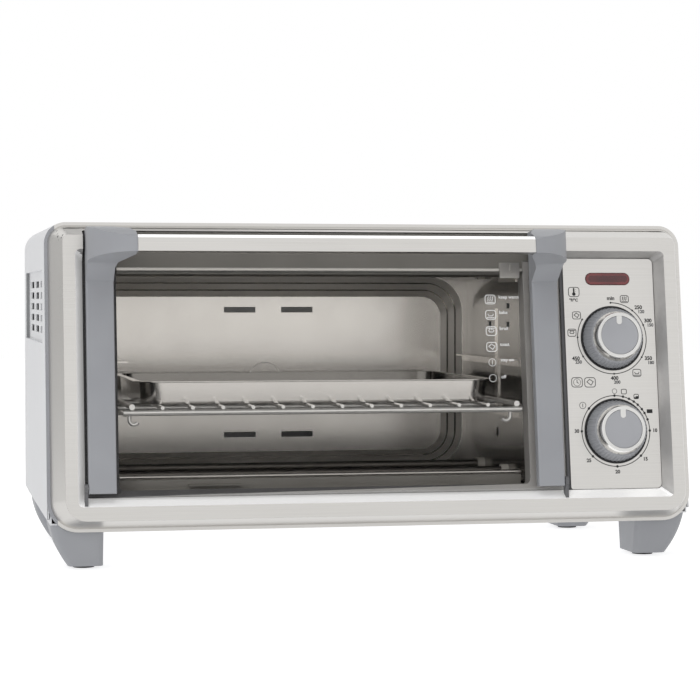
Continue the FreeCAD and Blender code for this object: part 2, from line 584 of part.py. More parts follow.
def chamber():
    """Bright steel cooking chamber: a folded liner and a stamped back with a rounded bulge."""
    left, right = "chamber_left", "chamber_right"
    low, high, back = "chamber_low", "chamber_high", "chamber_back"
    shell = block("liner_outside", (f"{left} - chamber_wall", f"{right} + chamber_wall"),
                  ("-spare", back), (f"{low} - chamber_wall", f"{high} + chamber_wall"))
    hollow = block("liner_inside", (left, right), ("-2 * spare", f"{back} + spare"), (low, high))
    tools = [hollow, front_cutter("liner")]
    for y, z in (("side_slot_front", "side_slot_high"), ("side_slot_front", "side_slot_low"),
                 ("side_slot_back", "side_slot_low")):
        tools.append(block("liner_slot", (f"{right} - spare", f"{right} + spare"),
                           (f"{y} - side_slot_length / 2", f"{y} + side_slot_length / 2"),
                           (f"{z} - side_slot_height / 2", f"{z} + side_slot_height / 2")))
    tools.append(rod("probe_hole", "x", (f"{right} - spare", "probe_y", "probe_z"),
                     "probe_radius", "2 * spare"))
    node("chamber_liner", cut("chamber_liner", shell, tools))

    body = doc.addObject("PartDesign::Body", "back_stamping")
    wall = rounded(body, "back_sheet", "XZ_Plane", f"-({back} + chamber_wall)",
                   (f"{left} - chamber_wall", f"{right} + chamber_wall"),
                   (f"{low} - chamber_wall", f"{high} + chamber_wall"), same("back_radius"))
    feature(body, "Pad", "back_wall", wall, Length="chamber_wall")
    count = SIZES["bulge_steps"]
    rise = "(bulge_depth - (bulge_steps - 1) * step_fall) / bulge_steps"
    corners = ("bulge_radius",) * 2 + ("bulge_radius_left",) * 2
    for name, kind, wall in (("outer", "AdditiveLoft", "0"),
                             ("inner", "SubtractiveLoft", "chamber_wall")):
        sections = []
        for level in range(2 * count):
            drafts, ledges = (level + 1) // 2, level // 2
            side, top, foot = (f"({drafts} * step_draft_{way} + {ledges} * step_ledge"
                               f" - chamber_wall + {wall})" for way in ("side", "high", "low"))
            depth = f"{back} + {drafts} * {rise} + {ledges} * step_fall - {wall}"
            if level == 0:
                depth = back
            sections.append(rounded(body, f"bulge_{name}_{level}", "XZ_Plane", f"-({depth})",
                                    (f"bulge_left + {side}", f"bulge_right - {side}"),
                                    (f"bulge_low + {foot}", f"bulge_high - {top}"),
                                    tuple(f"{radius} - {level} * step_corner - {wall}"
                                          for radius in corners)))
        feature(body, kind, f"bulge_{name}", sections[0], Sections=sections[1:], Ruled=True)
    slots = [block("back_slot", (f"{x} - back_slot_length / 2", f"{x} + back_slot_length / 2"),
                   (f"{back} + spare", f"{back} + bulge_depth + spare"),
                   (f"{z} - back_slot_height / 2", f"{z} + back_slot_height / 2"))
             for x in ("back_slot_left", "back_slot_right")
             for z in ("back_slot_high", "back_slot_low")]
    boss = rod("back_boss", "y", ("back_boss_x", f"{back} + bulge_depth - chamber_wall"
                                  " - back_boss_height", "back_boss_z"),
               "back_boss_radius", "back_boss_height + chamber_wall / 2")
    node("chamber_back", cut("chamber_back", join("back_with_boss", [body, boss]), slots))
    partition = block("partition_sheet", (f"{right} + partition_gap",
                                          f"{right} + partition_gap + chamber_wall"),
                      ("0", "case_depth - partition_end"),
                      ("base_low + base_sheet", "partition_high"))
    node("control_partition", cut("control_partition", partition, [front_cutter("partition")]))


def supports():
    """Runners for the rack on each chamber wall, and the stand under the chamber."""
    lower = "rail_z - rail_radius - part_gap"
    for name, side in (("left", 1), ("right", -1)):
        wall = "chamber_left" if side > 0 else "chamber_right"
        parts = []
        run = ("runner_front", "chamber_back")
        shelf = sorted((wall, f"{wall} + {side} * runner_width"), key=value)
        sheet_only = sorted((wall, f"{wall} + {side} * runner_sheet"), key=value)
        for top in (lower, f"{lower} + runner_step"):
            parts.append(block("runner_shelf", shelf, run, (f"{top} - runner_sheet", top)))
            parts.append(block("runner_web", sheet_only, run, (f"{top} - runner_height", top)))
        parts.append(block("runner_strip", sheet_only,
                           ("strip_front", "strip_front + strip_width"),
                           (f"{lower} - runner_height", "strip_high")))
        node(f"rack_guide_{name}", join(f"rack_guide_{name}", parts))
    channels, hollows = [], []
    low, high = "base_low + base_sheet", "chamber_low - chamber_wall"
    for x in ("chamber_left + stand_inset", "chamber_right - stand_inset - stand_width"):
        channels.append(block("stand_channel", (x, f"{x} + stand_width"),
                              ("stand_front", "stand_back"), (low, high)))
        hollows.append(block("stand_hollow", (f"{x} + base_sheet",
                                              f"{x} + stand_width - base_sheet"),
                             ("stand_front - spare", "stand_back + spare"),
                             (f"{low} - base_sheet", f"{high} - base_sheet")))
    node("chamber_stand", cut("chamber_stand", group("stand_channels", channels), hollows))


def heaters():
    """Four rod elements in ceramic caps, with end brackets and a reflector above."""
    caps = []
    for name, y, z in (("upper_front", "rod_front", "rod_high"),
                       ("upper_rear", "rod_back", "rod_high"),
                       ("lower_front", "rod_front", "rod_low"),
                       ("lower_rear", "rod_back", "rod_low")):
        node(f"heater_{name}", rod(f"element_{name}", "x", ("chamber_left + cap_length", y, z),
                                   "rod_radius", "chamber_right - chamber_left - 2 * cap_length"))
        for x in ("chamber_left", "chamber_right - cap_length"):
            caps.append(rod("cap", "x", (x, y, z), "cap_radius_outer", "cap_length"))
    node("heater_caps", group("heater_caps", caps))
    across = ("chamber_left + reflector_inset", "chamber_right - reflector_inset")
    top = "chamber_high"
    plate = block("reflector_sheet", across, ("reflector_front", "reflector_back"),
                  (f"{top} - chamber_wall", top))
    lips = [block("reflector_fold", across, (start, f"{start} + chamber_wall"),
                  (f"{top} - reflector_lip", top))
            for start in ("reflector_front", "reflector_back - chamber_wall")]
    node("heater_reflector", join("heater_reflector", [plate] + lips))


def crumb_tray():
    """Shallow sheet tray on the chamber floor with a rolled front lip and a pull."""
    left, right = "chamber_left + tray_inset", "chamber_right - tray_inset"
    low = "chamber_low + seat_gap"
    run = ("tray_front", "chamber_back - tray_end")
    floor = block("tray_floor", (left, right), run, (low, f"{low} + tray_thickness"))
    sides = [block("tray_wall", span, run, (low, f"{low} + tray_side"))
             for span in ((left, f"{left} + tray_thickness"), (f"{right} - tray_thickness", right))]
    lip = block("tray_front_fold", (left, right), ("tray_front", "tray_front + tray_thickness"),
                (low, f"{low} + tray_lip"))
    roll = rod("tray_rolled_edge", "x", (left, "tray_front", f"{low} + tray_lip - tray_roll"),
               "tray_roll", f"{right} - ({left})")
    pull = block("tray_pull", ("pull_left", "pull_left + pull_length"),
                 ("tray_front - pull_reach", "tray_front"),
                 (f"{low} + pull_up", f"{low} + pull_up + pull_thickness"))
    return node("crumb_tray", join("crumb_tray", [floor, lip, roll, pull] + sides))


def door_glass():
    """Tempered pane with rounded corners and four screw holes."""
    body = doc.addObject("PartDesign::Body", "door_glass")
    pane = rounded(body, "glass_outline", "XZ_Plane", "glass_back", ("glass_left", "glass_right"),
                   ("glass_low", "glass_high"), same("glass_radius"))
    feature(body, "Pad", "glass_pane", pane, Length="glass_thickness")
    holes = new_sketch(body, "glass_holes", "XZ_Plane", GLASS_FRONT)
    for x in (f"{TRIM_LEFT} + trim_width / 2", f"{TRIM_RIGHT} - trim_width / 2"):
        for up in SCREW_ROWS:
            disc(holes, x, up, "glass_hole")
    feature(body, "Pocket", "glass_drilling", holes, Length="glass_thickness")
    return node("door_glass", body, leaning=True)


def arm_solid(outer, inner, bar_end, side):
    """Trim strip and handle arm of one side, in the leaning frame.

    The arm is what a plan outline and a side outline have in common: the plan sweeps in from
    the strip to the end of the bar, and the side view tapers up from the strip to the bar.
    """
    front, back = value("bar_out"), value(GLASS_FRONT)
    trim, bend = value("trim_out"), value("arm_bend")
    depth, high = value("bar_depth"), value("arm_top")
    point = FreeCAD.Vector
    quarter = math.radians(45)
    start = front - bend
    middle = point(bar_end - side * (abs(outer - bar_end) * math.cos(quarter)),
                   -(start + bend * math.sin(quarter)), 0)
    hollow = start - value("arm_hollow")
    plan = [
        Part.LineSegment(point(outer, -back, 0), point(outer, -start, 0)),
        Part.Arc(point(outer, -start, 0), middle, point(bar_end, -front, 0)),
        Part.LineSegment(point(bar_end, -front, 0), point(bar_end, -(front - depth), 0)),
        Part.LineSegment(point(bar_end, -(front - depth), 0), point(inner, -hollow, 0)),
        Part.LineSegment(point(inner, -hollow, 0), point(inner, -back, 0)),
        Part.LineSegment(point(inner, -back, 0), point(outer, -back, 0)),
    ]
    tall = Part.Face(Part.Wire([edge.toShape() for edge in plan])).extrude(point(0, 0, REACH))
    knee, knee_up = value("arm_knee_out"), value("arm_knee_up")
    bar_low, bar_high = value("bar_low"), value("bar_high")
    chamfer = value("bar_chamfer")
    slope, fall = value("arm_slope"), value("arm_slope_fall")
    profile = [(back, value("arm_root")), (trim, value("arm_foot")), (knee, knee_up),
               (front - value("arm_toe"), bar_low), (front, bar_low),
               (front, bar_high - chamfer), (front - chamfer, bar_high),
               (knee + slope, high - fall), (trim + value("arm_shoulder"), high), (back, high)]
    ring = [point(-REACH, -out, up) for out, up in profile + profile[:1]]
    long = Part.Face(Part.makePolygon(ring)).extrude(point(2 * REACH, 0, 0))
    arm = tall.common(long)
    low, wide = value("trim_low"), value("trim_width")
    strip = Part.makeBox(wide, trim - back, high - low, point(min(outer, inner), -trim, low))
    long_edges = [edge for edge in strip.Edges
                  if abs(edge.CenterOfMass.y + trim) < value("part_gap")
                  and edge.BoundBox.ZLength > wide]
    strip = strip.makeFillet(value("trim_fillet"), long_edges)
    bite = value("pin_bite")
    pin = Part.makeCylinder(value("pin_radius"), 2 * bite,
                            point(outer + side * bite, -value(PIVOT_OUT), value("pivot_up")),
                            point(-side, 0, 0))
    tools = [pin]
    for up in (value("glass_high - screw_from_top"), value("trim_low + screw_from_low")):
        tools.append(Part.makeCylinder(value("screw_radius + screw_fit"), value("screw_bite"),
                                       point((outer + inner) / 2, -back, up), point(0, -1, 0)))
    return arm.fuse(strip).removeSplitter().cut(tools)


def door_brackets():
    """Grey mouldings: each is a strip down the glass that grows into an arm of the handle."""
    left, right = value(TRIM_LEFT), value(TRIM_RIGHT)
    wide = value("trim_width")
    for name, outer, inner, end, side in (
            ("left", left, left + wide, value("bar_left"), 1),
            ("right", right, right - wide, value("bar_right"), -1)):
        solid = doc.addObject("Part::Feature", f"door_bracket_{name}")
        solid.Shape = arm_solid(outer, inner, end, side)
        node(f"door_bracket_{name}", solid, leaning=True)


def handle_bar():
    """Stainless bar across the arms, backed by a moulded grip."""
    ends = ("bar_left", "bar_right")
    skin = block("bar_skin_block", ends, ("-bar_out", "-(bar_out - bar_skin)"),
                 ("bar_low", "bar_high"))
    node("handle_bar", cut("handle_bar", skin, [edge_cutter()]), leaning=True)
    grip = block("grip_block", ends, ("-(bar_out - bar_skin)", "-(bar_out - bar_depth)"),
                 ("bar_low + grip_inset", "bar_high - grip_inset"))
    node("handle_grip", grip, leaning=True)


def edge_cutter():
    """A square rod turned on edge along X, which cuts the bar's front upper edge to a slope."""
    tool = doc.addObject("Part::Box", "bar_edge_cut")
    tie(tool, Length="bar_right - bar_left + 2 * spare", Width="bar_chamfer * sqrt(2)",
        Height="bar_chamfer * sqrt(2)")
    tool.Placement.Rotation = FreeCAD.Rotation(FreeCAD.Vector(1, 0, 0), 45)
    tie(tool, Placement__Base__x="bar_left - spare", Placement__Base__y="-bar_out",
        Placement__Base__z="bar_high - bar_chamfer")
    return tool


def heater_brackets():
    """Bright plates on the chamber walls that hold the upper front element's caps."""
    plates = []
    for wall, side in (("chamber_left", 1), ("chamber_right", -1)):
        across = sorted((wall, f"{wall} + {side} * chamber_wall"), key=value)
        plate = block("bracket_plate", across, ("bracket_front", "bracket_back"),
                      ("bracket_low", "bracket_high"))
        hole = rod("bracket_hole", "x", (f"{wall} - spare", "rod_front", "rod_high"),
                   "cap_radius_outer + seat_gap", "2 * spare")
        plates.append(cut("heater_bracket", plate, [hole, front_cutter("bracket")]))
    return node("heater_brackets", group("heater_brackets", plates))


def hinges():
    """Lugs on the bezel's lower bevel, and pins that the door's strips turn on."""
    for name, trim, side in (("left", TRIM_LEFT, 1), ("right", TRIM_RIGHT, -1)):
        near = f"({trim} - {side} * lug_gap)"
        far = f"({near} - {side} * lug_width)"
        across = tuple(sorted((near, far), key=value))
        stem = block(f"lug_{name}_stem", across,
                     ("-(bezel_out - seat_gap)", f"-({PIVOT_OUT} - lug_radius)"),
                     ("crease_low + band_low", "pivot_up"))
        barrel = rod(f"lug_{name}_barrel", "x", (across[0], f"-{PIVOT_OUT}", "pivot_up"),
                     "lug_radius", "lug_width")
        bore = rod(f"lug_{name}_bore", "x", (f"{across[0]} - spare", f"-{PIVOT_OUT}", "pivot_up"),
                   "pin_radius + pin_fit", "lug_width + 2 * spare")
        bevel = doc.addObject("Part::Wedge", f"lug_{name}_bevel")
        bevel.Xmin = bevel.Ymin = bevel.Zmin = bevel.X2min = bevel.Z2min = 0
        tie(bevel, Xmax="lug_width + 2 * spare", X2max="lug_width + 2 * spare",
            Ymax="recess_depth", Zmax="spare", Z2max="spare + bevel_low")
        along(bevel, "z", (f"{across[0]} - spare", "-bezel_out",
                           "crease_low + band_low - spare + 2 * part_gap"))
        lug = cut(f"hinge_lug_{name}", join(f"lug_{name}_solid", [stem, barrel]), [bevel, bore])
        node(f"hinge_lug_{name}", lug, leaning=True)
        inner = f"({trim} + {side} * pin_bite)"
        start = sorted((far, inner), key=value)[0]
        node(f"hinge_pin_{name}", rod(f"pin_{name}", "x", (start, f"-{PIVOT_OUT}", "pivot_up"),
                                      "pin_radius", "pin_bite + lug_gap + lug_width"), leaning=True)


def door_screws():
    """Four screws through the glass into the strips, with their heads behind the glass."""
    screws = []
    for x in (f"({TRIM_LEFT} + trim_width / 2)", f"({TRIM_RIGHT} - trim_width / 2)"):
        for up in SCREW_ROWS:
            head = rod("screw_head_disc", "out", (x, "-(glass_back - screw_head_height)", up),
                       "screw_head", "screw_head_height")
            shank = rod("screw_shank", "out", (x, "-glass_back", up), "screw_radius",
                        "glass_thickness + screw_bite")
            screws.append(join("door_screw", [head, shank]))
    return node("door_screws", group("door_screws", screws), leaning=True)


def dial(name, up):
    """A knob in three pieces on its shaft, standing just off the control panel."""
    panel_top = "(boss_out + panel_thickness)"
    start = f"({panel_top} + knob_gap)"
    top = f"{start} + skirt_height"
    skirt = cone(f"{name}_skirt", "out", ("dial_x", f"-{start}", up), "knob_radius",
                 "knob_top_radius", "skirt_height")
    tools = [rod(f"{name}_bore", "out", ("dial_x", f"-({start} - spare)", up), "shaft_radius",
                 "shaft_reach + spare")]
    for grip in range(SIZES["grip_count"]):
        angle = f"({grip} * 360 / grip_count)"
        place = (f"dial_x + (knob_radius + grip_set_out) * cos({angle})",
                 f"-({start} + grip_start)",
                 f"{up} + (knob_radius + grip_set_out) * sin({angle})")
        tools.append(cone(f"{name}_grip", "out", place, "grip_radius", "grip_end_radius",
                          "skirt_height"))
    node(f"{name}_knob", cut(f"{name}_knob", skirt, tools), leaning=True)
    tube = cone(f"{name}_tube", "out", ("dial_x", f"-({top})", up), "ring_radius",
                "ring_top_radius", "ring_height")
    inside = rod(f"{name}_tube_bore", "out", ("dial_x", f"-({top} - spare)", up), "cap_radius",
                 "ring_height + 2 * spare")
    node(f"{name}_ring", cut(f"{name}_ring", tube, [inside]), leaning=True)
    node(f"{name}_cap", rod(f"{name}_disc", "out", ("dial_x", f"-({top})", up),
                            "cap_radius", "cap_height"), leaning=True)
    node(f"{name}_shaft", rod(f"{name}_stem", "out", ("dial_x", "-(boss_out - shaft_inside)", up),
                              "shaft_radius", f"{start} - boss_out + shaft_inside + shaft_reach"),
         leaning=True)


def control_unit(label, up):
    """A boxed unit behind the panel, bored for its shaft."""
    box = block(f"{label}_box", ("dial_x - unit_width / 2", "dial_x + unit_width / 2"),
                ("-boss_out", "-(boss_out - unit_depth)"),
                (f"{up} - unit_height / 2", f"{up} + unit_height / 2"))
    bore = rod(f"{label}_bore", "out", ("dial_x", "-(boss_out - shaft_inside - part_gap)", up),
               "shaft_radius + shaft_fit", "shaft_inside + spare")
    return node(label, cut(label, box, [bore]), leaning=True)


def controls():
    """Two dials with the thermostat and the clockwork timer behind them."""
    dial("temperature", "temperature_up")
    dial("timer", "timer_up")
    control_unit("thermostat", "temperature_up")
    control_unit("timer_unit", "timer_up")
    bell = rod("bell_cup", "y", ("dial_x", "-(boss_out - unit_depth)", "timer_up"), "bell_radius",
               "bell_height")
    node("timer_bell", bell, leaning=True)


def rack():
    """Wire rack: three rails below, a row of wires above, and two bent hooks at the front."""
    rails = [rod("rail", "x", ("rail_left", y, "rail_z"), "rail_radius", "rail_right - rail_left")
             for y in ("rail_y", "middle_rail_y", "rear_rail_y")]
    node("rack_rails", group("rack_rails", rails))
    high = "rail_z + rail_radius"
    ends = ("(rail_y - rail_radius)", "(rear_rail_y + rail_radius)")
    wires = []
    for index in range(1, SIZES["wire_gaps"]):
        x = f"wire_left + {index} * (wire_right - wire_left) / wire_gaps"
        wires.append(rod("wire", "y", (x, ends[0], f"{high} + wire_radius"), "wire_radius",
                         f"{ends[1]} - {ends[0]}"))
    node("rack_wires", group("rack_wires", wires))
    sides = [rod("side_wire", "y", (x, ends[0], f"{high} + side_wire_radius"), "side_wire_radius",
                 f"{ends[1]} - {ends[0]}") for x in ("wire_left", "wire_right")]
    node("rack_side_wires", group("rack_side_wires", sides))
    hooks = []
    knee = "rail_z - hook_drop + hook_turn"
    for x, side, start in (("wire_left - hook_left_out", 1, "180"),
                           ("wire_right - hook_right_in", -1, "360 - hook_sweep")):
        stem = rod("hook_stem", "z", (x, "rail_y", knee), "wire_radius",
                   "hook_drop - hook_turn - rail_radius")
        bend = doc.addObject("Part::Torus", "hook_bend")
        tie(bend, Radius1="hook_turn", Radius2="wire_radius", Angle3="hook_sweep")
        along(bend, "out", (f"{x} + {side} * hook_turn", "rail_y", knee))
        bend.Placement.Rotation = TURNS["out"].multiply(
            FreeCAD.Rotation(FreeCAD.Vector(0, 0, 1), value(start)))
        hooks.append(join("hook", [stem, bend]))
    node("rack_hooks", group("rack_hooks", hooks))


def bake_pan():
    """Pressed pan with steep sides, rounded corners and a flat rim."""
    body = doc.addObject("PartDesign::Body", "bake_pan")
    for name, kind, thick in (("outer", "AdditiveLoft", "0"),
                              ("inner", "SubtractiveLoft", "pan_wall")):
        sections = []
        for where, z, draft in (("floor", f"{PAN_LOW} + {thick}", "pan_draft"),
                                ("mouth", f"{PAN_LOW} + pan_height", "0")):
            inset = f"(pan_rim + {draft} + {thick})"
            sections.append(rounded(body, f"pan_{name}_{where}", "XY_Plane", z,
                                    (f"pan_left + {inset}", f"pan_right - {inset}"),
                                    (f"pan_front + {inset}", f"pan_back - {inset}"),
                                    same(f"pan_radius - {thick}")))
        if name == "inner":
            rim = rounded(body, "pan_rim_outline", "XY_Plane",
                          f"{PAN_LOW} + pan_height - pan_wall", ("pan_left", "pan_right"),
                          ("pan_front", "pan_back"), same("pan_radius + pan_rim"))
            feature(body, "Pad", "pan_rim_sheet", rim, Length="pan_wall")
        feature(body, kind, f"pan_{name}", sections[0], Sections=[sections[1]], Ruled=True)
    return node("bake_pan", body)


def rear_screws():
    """Six screws that hold the rear cover, and the block where the cord's leads end."""
    edge = "(case_width / 2 - case_wall - cover_screw_in)"
    heads = [rod("cover_screw", "y", (f"{side} * {edge}", "case_depth", z), "cover_screw_radius",
                 "cover_screw_height")
             for side in (-1, 1)
             for z in ("cover_screw_low", "cover_screw_middle", f"{CASE_TOP} - cover_screw_drop")]
    node("cover_screws", group("cover_screws", heads))
    floor = "base_low + base_sheet"
    terminal = block("terminal_body", ("terminal_left", "terminal_left + terminal_length"),
                     ("terminal_front", "terminal_front + terminal_depth"),
                     (floor, f"{floor} + terminal_height"))
    node("terminal_block", terminal)


for build in (bezel, front_frame, mouth_trim, control_panel, indicator, outer_case, rear_cover,
              rear_screws, base_pan, feet, chamber, supports, heaters, heater_brackets,
              crumb_tray, door_glass, door_brackets, handle_bar, hinges, door_screws, controls,
              rack, bake_pan):
    build()
doc.recompute()
for obj in doc.Objects:
    if "Invalid" in obj.State or "Error" in obj.State:
        raise RuntimeError(f"{obj.Label} could not be built: {obj.State}")
for part in NODES:
    if part.Shape.isNull() or not part.Shape.isValid():
        raise RuntimeError(f"{part.Label} has no valid shape")

os.makedirs("parts", exist_ok=True)
for part in NODES:
    part.Shape.exportStep(f"parts/{part.Label}.step")
print(len(NODES), "sub-parts written")
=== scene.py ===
# %% [markdown]
# # A countertop toaster oven
# The measured frame of the oven comes from the CAD model. This lesson gives it its looks: a
# brushed steel face that leans back a little, a glass drop-down door with a steel bar, two
# rotary knobs, a white case and a bright cooking chamber with its rack and bake pan.
# The frame is loaded first.

# %% Load the measured frame
import json
import math

import bmesh
import bpy
from mathutils import Matrix, Vector


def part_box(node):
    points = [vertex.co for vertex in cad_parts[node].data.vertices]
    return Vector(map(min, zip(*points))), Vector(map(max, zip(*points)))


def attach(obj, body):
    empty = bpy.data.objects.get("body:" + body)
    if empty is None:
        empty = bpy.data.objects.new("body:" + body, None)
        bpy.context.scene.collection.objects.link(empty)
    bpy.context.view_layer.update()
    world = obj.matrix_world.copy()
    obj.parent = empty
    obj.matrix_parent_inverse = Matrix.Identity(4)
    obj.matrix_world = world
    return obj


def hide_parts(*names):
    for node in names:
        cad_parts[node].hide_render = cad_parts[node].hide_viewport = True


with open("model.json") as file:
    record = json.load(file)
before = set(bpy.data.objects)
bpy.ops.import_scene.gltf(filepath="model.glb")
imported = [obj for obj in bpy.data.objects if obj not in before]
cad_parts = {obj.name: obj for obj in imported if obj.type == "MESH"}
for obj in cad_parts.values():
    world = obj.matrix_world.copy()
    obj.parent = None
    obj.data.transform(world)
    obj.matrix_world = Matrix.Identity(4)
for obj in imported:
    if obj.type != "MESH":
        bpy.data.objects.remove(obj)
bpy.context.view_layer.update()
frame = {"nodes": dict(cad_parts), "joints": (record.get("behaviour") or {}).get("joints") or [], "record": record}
for spare in ("Cube", "Light", "Camera"):
    if spare in bpy.data.objects and spare not in frame["nodes"]:
        bpy.data.objects.remove(bpy.data.objects[spare])

# %% [markdown]
# ## Camera
# The view is from a little to the left of the oven and level with its top edge, through a long
# lens, so that upright edges stay nearly upright.

# %% Camera
bpy.ops.object.camera_add(location=(-0.3649, -1.825335, 0.2122),
                          rotation=(math.radians(88.6), 0, math.radians(-11.42)))
camera = bpy.context.object
camera.data.lens = 112.77
camera.data.sensor_width = 36
bpy.context.scene.camera = camera
bpy.context.scene.view_settings.view_transform = "Standard"
print("camera", [round(v, 3) for v in camera.location])

# %% [markdown]
# ## Writing materials as sums
# A shader is easier to read as a sum than as a web of nodes. Wire holds one socket and turns
# arithmetic into Math nodes. Finish holds one material and adds every other node.

# %% Wire
class Wire:
    """One node socket, whose arithmetic adds Math nodes."""

    def __init__(self, finish, socket):
        self.finish, self.socket = finish, socket

    def math(self, operation, *values):
        return self.finish.node("ShaderNodeMath", {"operation": operation},
                                dict(enumerate(values)))

    def __add__(self, other):
        return self.math("ADD", self, other)

    def __radd__(self, other):
        return self.math("ADD", other, self)

    def __sub__(self, other):
        return self.math("SUBTRACT", self, other)

    def __rsub__(self, other):
        return self.math("SUBTRACT", other, self)

    def __mul__(self, other):
        return self.math("MULTIPLY", self, other)

    def __rmul__(self, other):
        return self.math("MULTIPLY", other, self)

    def clamped(self):
        return self.math("MINIMUM", self, 1.0)

    def between(self, low, high):
        """0 at low, 1 at high, and smooth from one to the other."""
        return self.finish.node("ShaderNodeMapRange", {"interpolation_type": "SMOOTHSTEP"},
                                {"Value": self, "From Min": low, "From Max": high})


# %% [markdown]
# A Finish starts empty. Its node method takes a node's type, its settings, then the values or
# wires for its sockets, and gives back the wire of its first output, or of the one named.

# %% Finish
class Finish:
    """One material, built from wires."""

    def __init__(self, name, kind="materials"):
        self.material = getattr(bpy.data, kind).new(name)
        self.material.use_nodes = True
        self.tree = self.material.node_tree
        self.tree.nodes.clear()

    def node(self, kind, settings=None, sockets=None, output=0):
        made = self.tree.nodes.new(kind)
        for name, value in (settings or {}).items():
            if name == "stops":
                set_stops(made.color_ramp, value)
            else:
                setattr(made, name, value)
        for name, value in (sockets or {}).items():
            if isinstance(value, Wire):
                self.tree.links.new(value.socket, made.inputs[name])
            else:
                made.inputs[name].default_value = value
        return Wire(self, made.outputs[output])

    def object_point(self):
        return self.node("ShaderNodeTexCoord", output="Object")

    def noise(self, scale, stretch=(1, 1, 1), detail=3.0, rough=0.55, point=None):
        """Noise from 0 to 1 whose grains are 1/scale metres, stretched along each axis."""
        spread = self.node("ShaderNodeMapping", None, {
            "Vector": point or self.object_point(), "Scale": [1 / s for s in stretch]})
        return self.node("ShaderNodeTexNoise", None, {
            "Vector": spread, "Scale": scale, "Detail": detail, "Roughness": rough})

    def tint(self, factor, low, high):
        """A colour from low, at factor 0, to high, at factor 1."""
        return self.node("ShaderNodeMix", {"data_type": "RGBA"}, {
            0: factor, 6: (*low, 1), 7: (*high, 1)}, output=2)

    def bump(self, height, depth, strength=1.0):
        return self.node("ShaderNodeBump", None, {
            "Height": height, "Distance": depth, "Strength": strength})

    def surface(self, shader):
        kind = "World" if isinstance(self.material, bpy.types.World) else "Material"
        end = self.tree.nodes.new("ShaderNodeOutput" + kind)
        self.tree.links.new(shader.socket, end.inputs["Surface"])
        print("finish", self.material.name, len(self.tree.nodes), "nodes")
        return self.material


def set_stops(ramp, stops):
    """Gives a colour ramp its stops, as (place, colour) pairs."""
    while len(ramp.elements) < len(stops):
        ramp.elements.new(0.5)
    for element, (place, colour) in zip(ramp.elements, stops):
        element.position, element.color = place, (*colour, 1)


def solid(finish, **sockets):
    """A Principled shader with these sockets, whose names have _ for a space."""
    named = {name.replace("_", " "): value for name, value in sockets.items()}
    return finish.node("ShaderNodeBsdfPrincipled", None, named)


# %% [markdown]
# ## Studio
# Light comes from all round, as in a white tent, with a soft lamp above and one in front.
# The world is white to the camera and in reflections, and lights the oven at a lower level.
# The floor adds its own light to what falls on it, so that the ground stays white and a soft
# shadow still shows under the feet.

# %% World
def light_path(finish, *rays):
    """1 where the ray is one of these kinds, such as Is Glossy Ray."""
    path = finish.tree.nodes.new("ShaderNodeLightPath")
    kinds = [Wire(finish, path.outputs[ray]) for ray in rays]
    return sum(kinds[1:], kinds[0]).clamped()


air = Finish("studio_air", "worlds")
bpy.context.scene.world = air.material
room_level = 0.56
seen = light_path(air, "Is Camera Ray", "Is Glossy Ray", "Is Transmission Ray")
room = air.node("ShaderNodeBackground", None, {"Color": (1, 1, 1, 1), "Strength": room_level})
white = air.node("ShaderNodeBackground", None, {"Color": (1, 1, 1, 1), "Strength": 1.0})
air.surface(air.node("ShaderNodeMixShader", None, {0: seen, 1: room, 2: white}))

# %% Floor
bpy.ops.mesh.primitive_plane_add(size=9, location=(0, 1.2, 0))
floor = bpy.context.object
floor.name = "studio_floor"
bpy.ops.object.transform_apply(location=True)
ground = Finish("floor_paper")
glow = ground.node("ShaderNodeEmission", None, {"Color": (1, 1, 1, 1), "Strength": 0.72})
paper = ground.node("ShaderNodeBsdfDiffuse", None, {"Color": (0.6, 0.6, 0.6, 1)})
both = ground.node("ShaderNodeAddShader", None, {0: glow, 1: paper})
plain = ground.node("ShaderNodeEmission", None, {"Color": (1, 1, 1, 1), "Strength": 1.0})
mirrored = light_path(ground, "Is Glossy Ray", "Is Transmission Ray")
floor.data.materials.append(ground.surface(
    ground.node("ShaderNodeMixShader", None, {0: mirrored, 1: both, 2: plain})))

# %% Lamps
def lamp(name, where, aim, size, power):
    """A square soft lamp at where that points at aim."""
    bpy.ops.object.light_add(type="AREA", location=where)
    light = bpy.context.object
    light.name = name
    light.rotation_euler = (Vector(aim) - Vector(where)).to_track_quat("-Z", "Y").to_euler()
    light.data.size = size
    light.data.energy = power
    light.visible_glossy = False
    print("lamp", name, power, "W")


lamp("lamp_above", (-0.3, -0.6, 1.9), (0, 0, 0.1), 1.6, 13)
lamp("lamp_front", (-1.3, -2.2, 1.0), (0, 0, 0.12), 1.4, 12)

# %% [markdown]
# Polished metal looks like whatever it mirrors, and an all-white room would leave it flat. A
# studio holds up darker cards, and so does this one: one at the left, one high behind and one on
# the floor in front. Darker paint would also work, but it would look the same all round.

# %% Reflection cards
def flag(name, size, where, aim, shade):
    """A card that only reflections see, to give polished metal something darker to show."""
    bpy.ops.mesh.primitive_plane_add(size=1)
    card = bpy.context.object
    card.name = name
    turn = (Vector(aim) - Vector(where)).to_track_quat("Z", "Y").to_matrix().to_4x4()
    card.data.transform(Matrix.Translation(where) @ turn
                        @ Matrix.Diagonal((size[0], size[1], 1, 1)))
    grey = Finish(name + "_cloth")
    card.data.materials.append(grey.surface(grey.node(
        "ShaderNodeEmission", None, {"Color": (shade, shade, shade, 1), "Strength": 1})))
    card.visible_camera = card.visible_shadow = card.visible_diffuse = False
    card.visible_transmission = False
    print("card", name, "shade", shade)


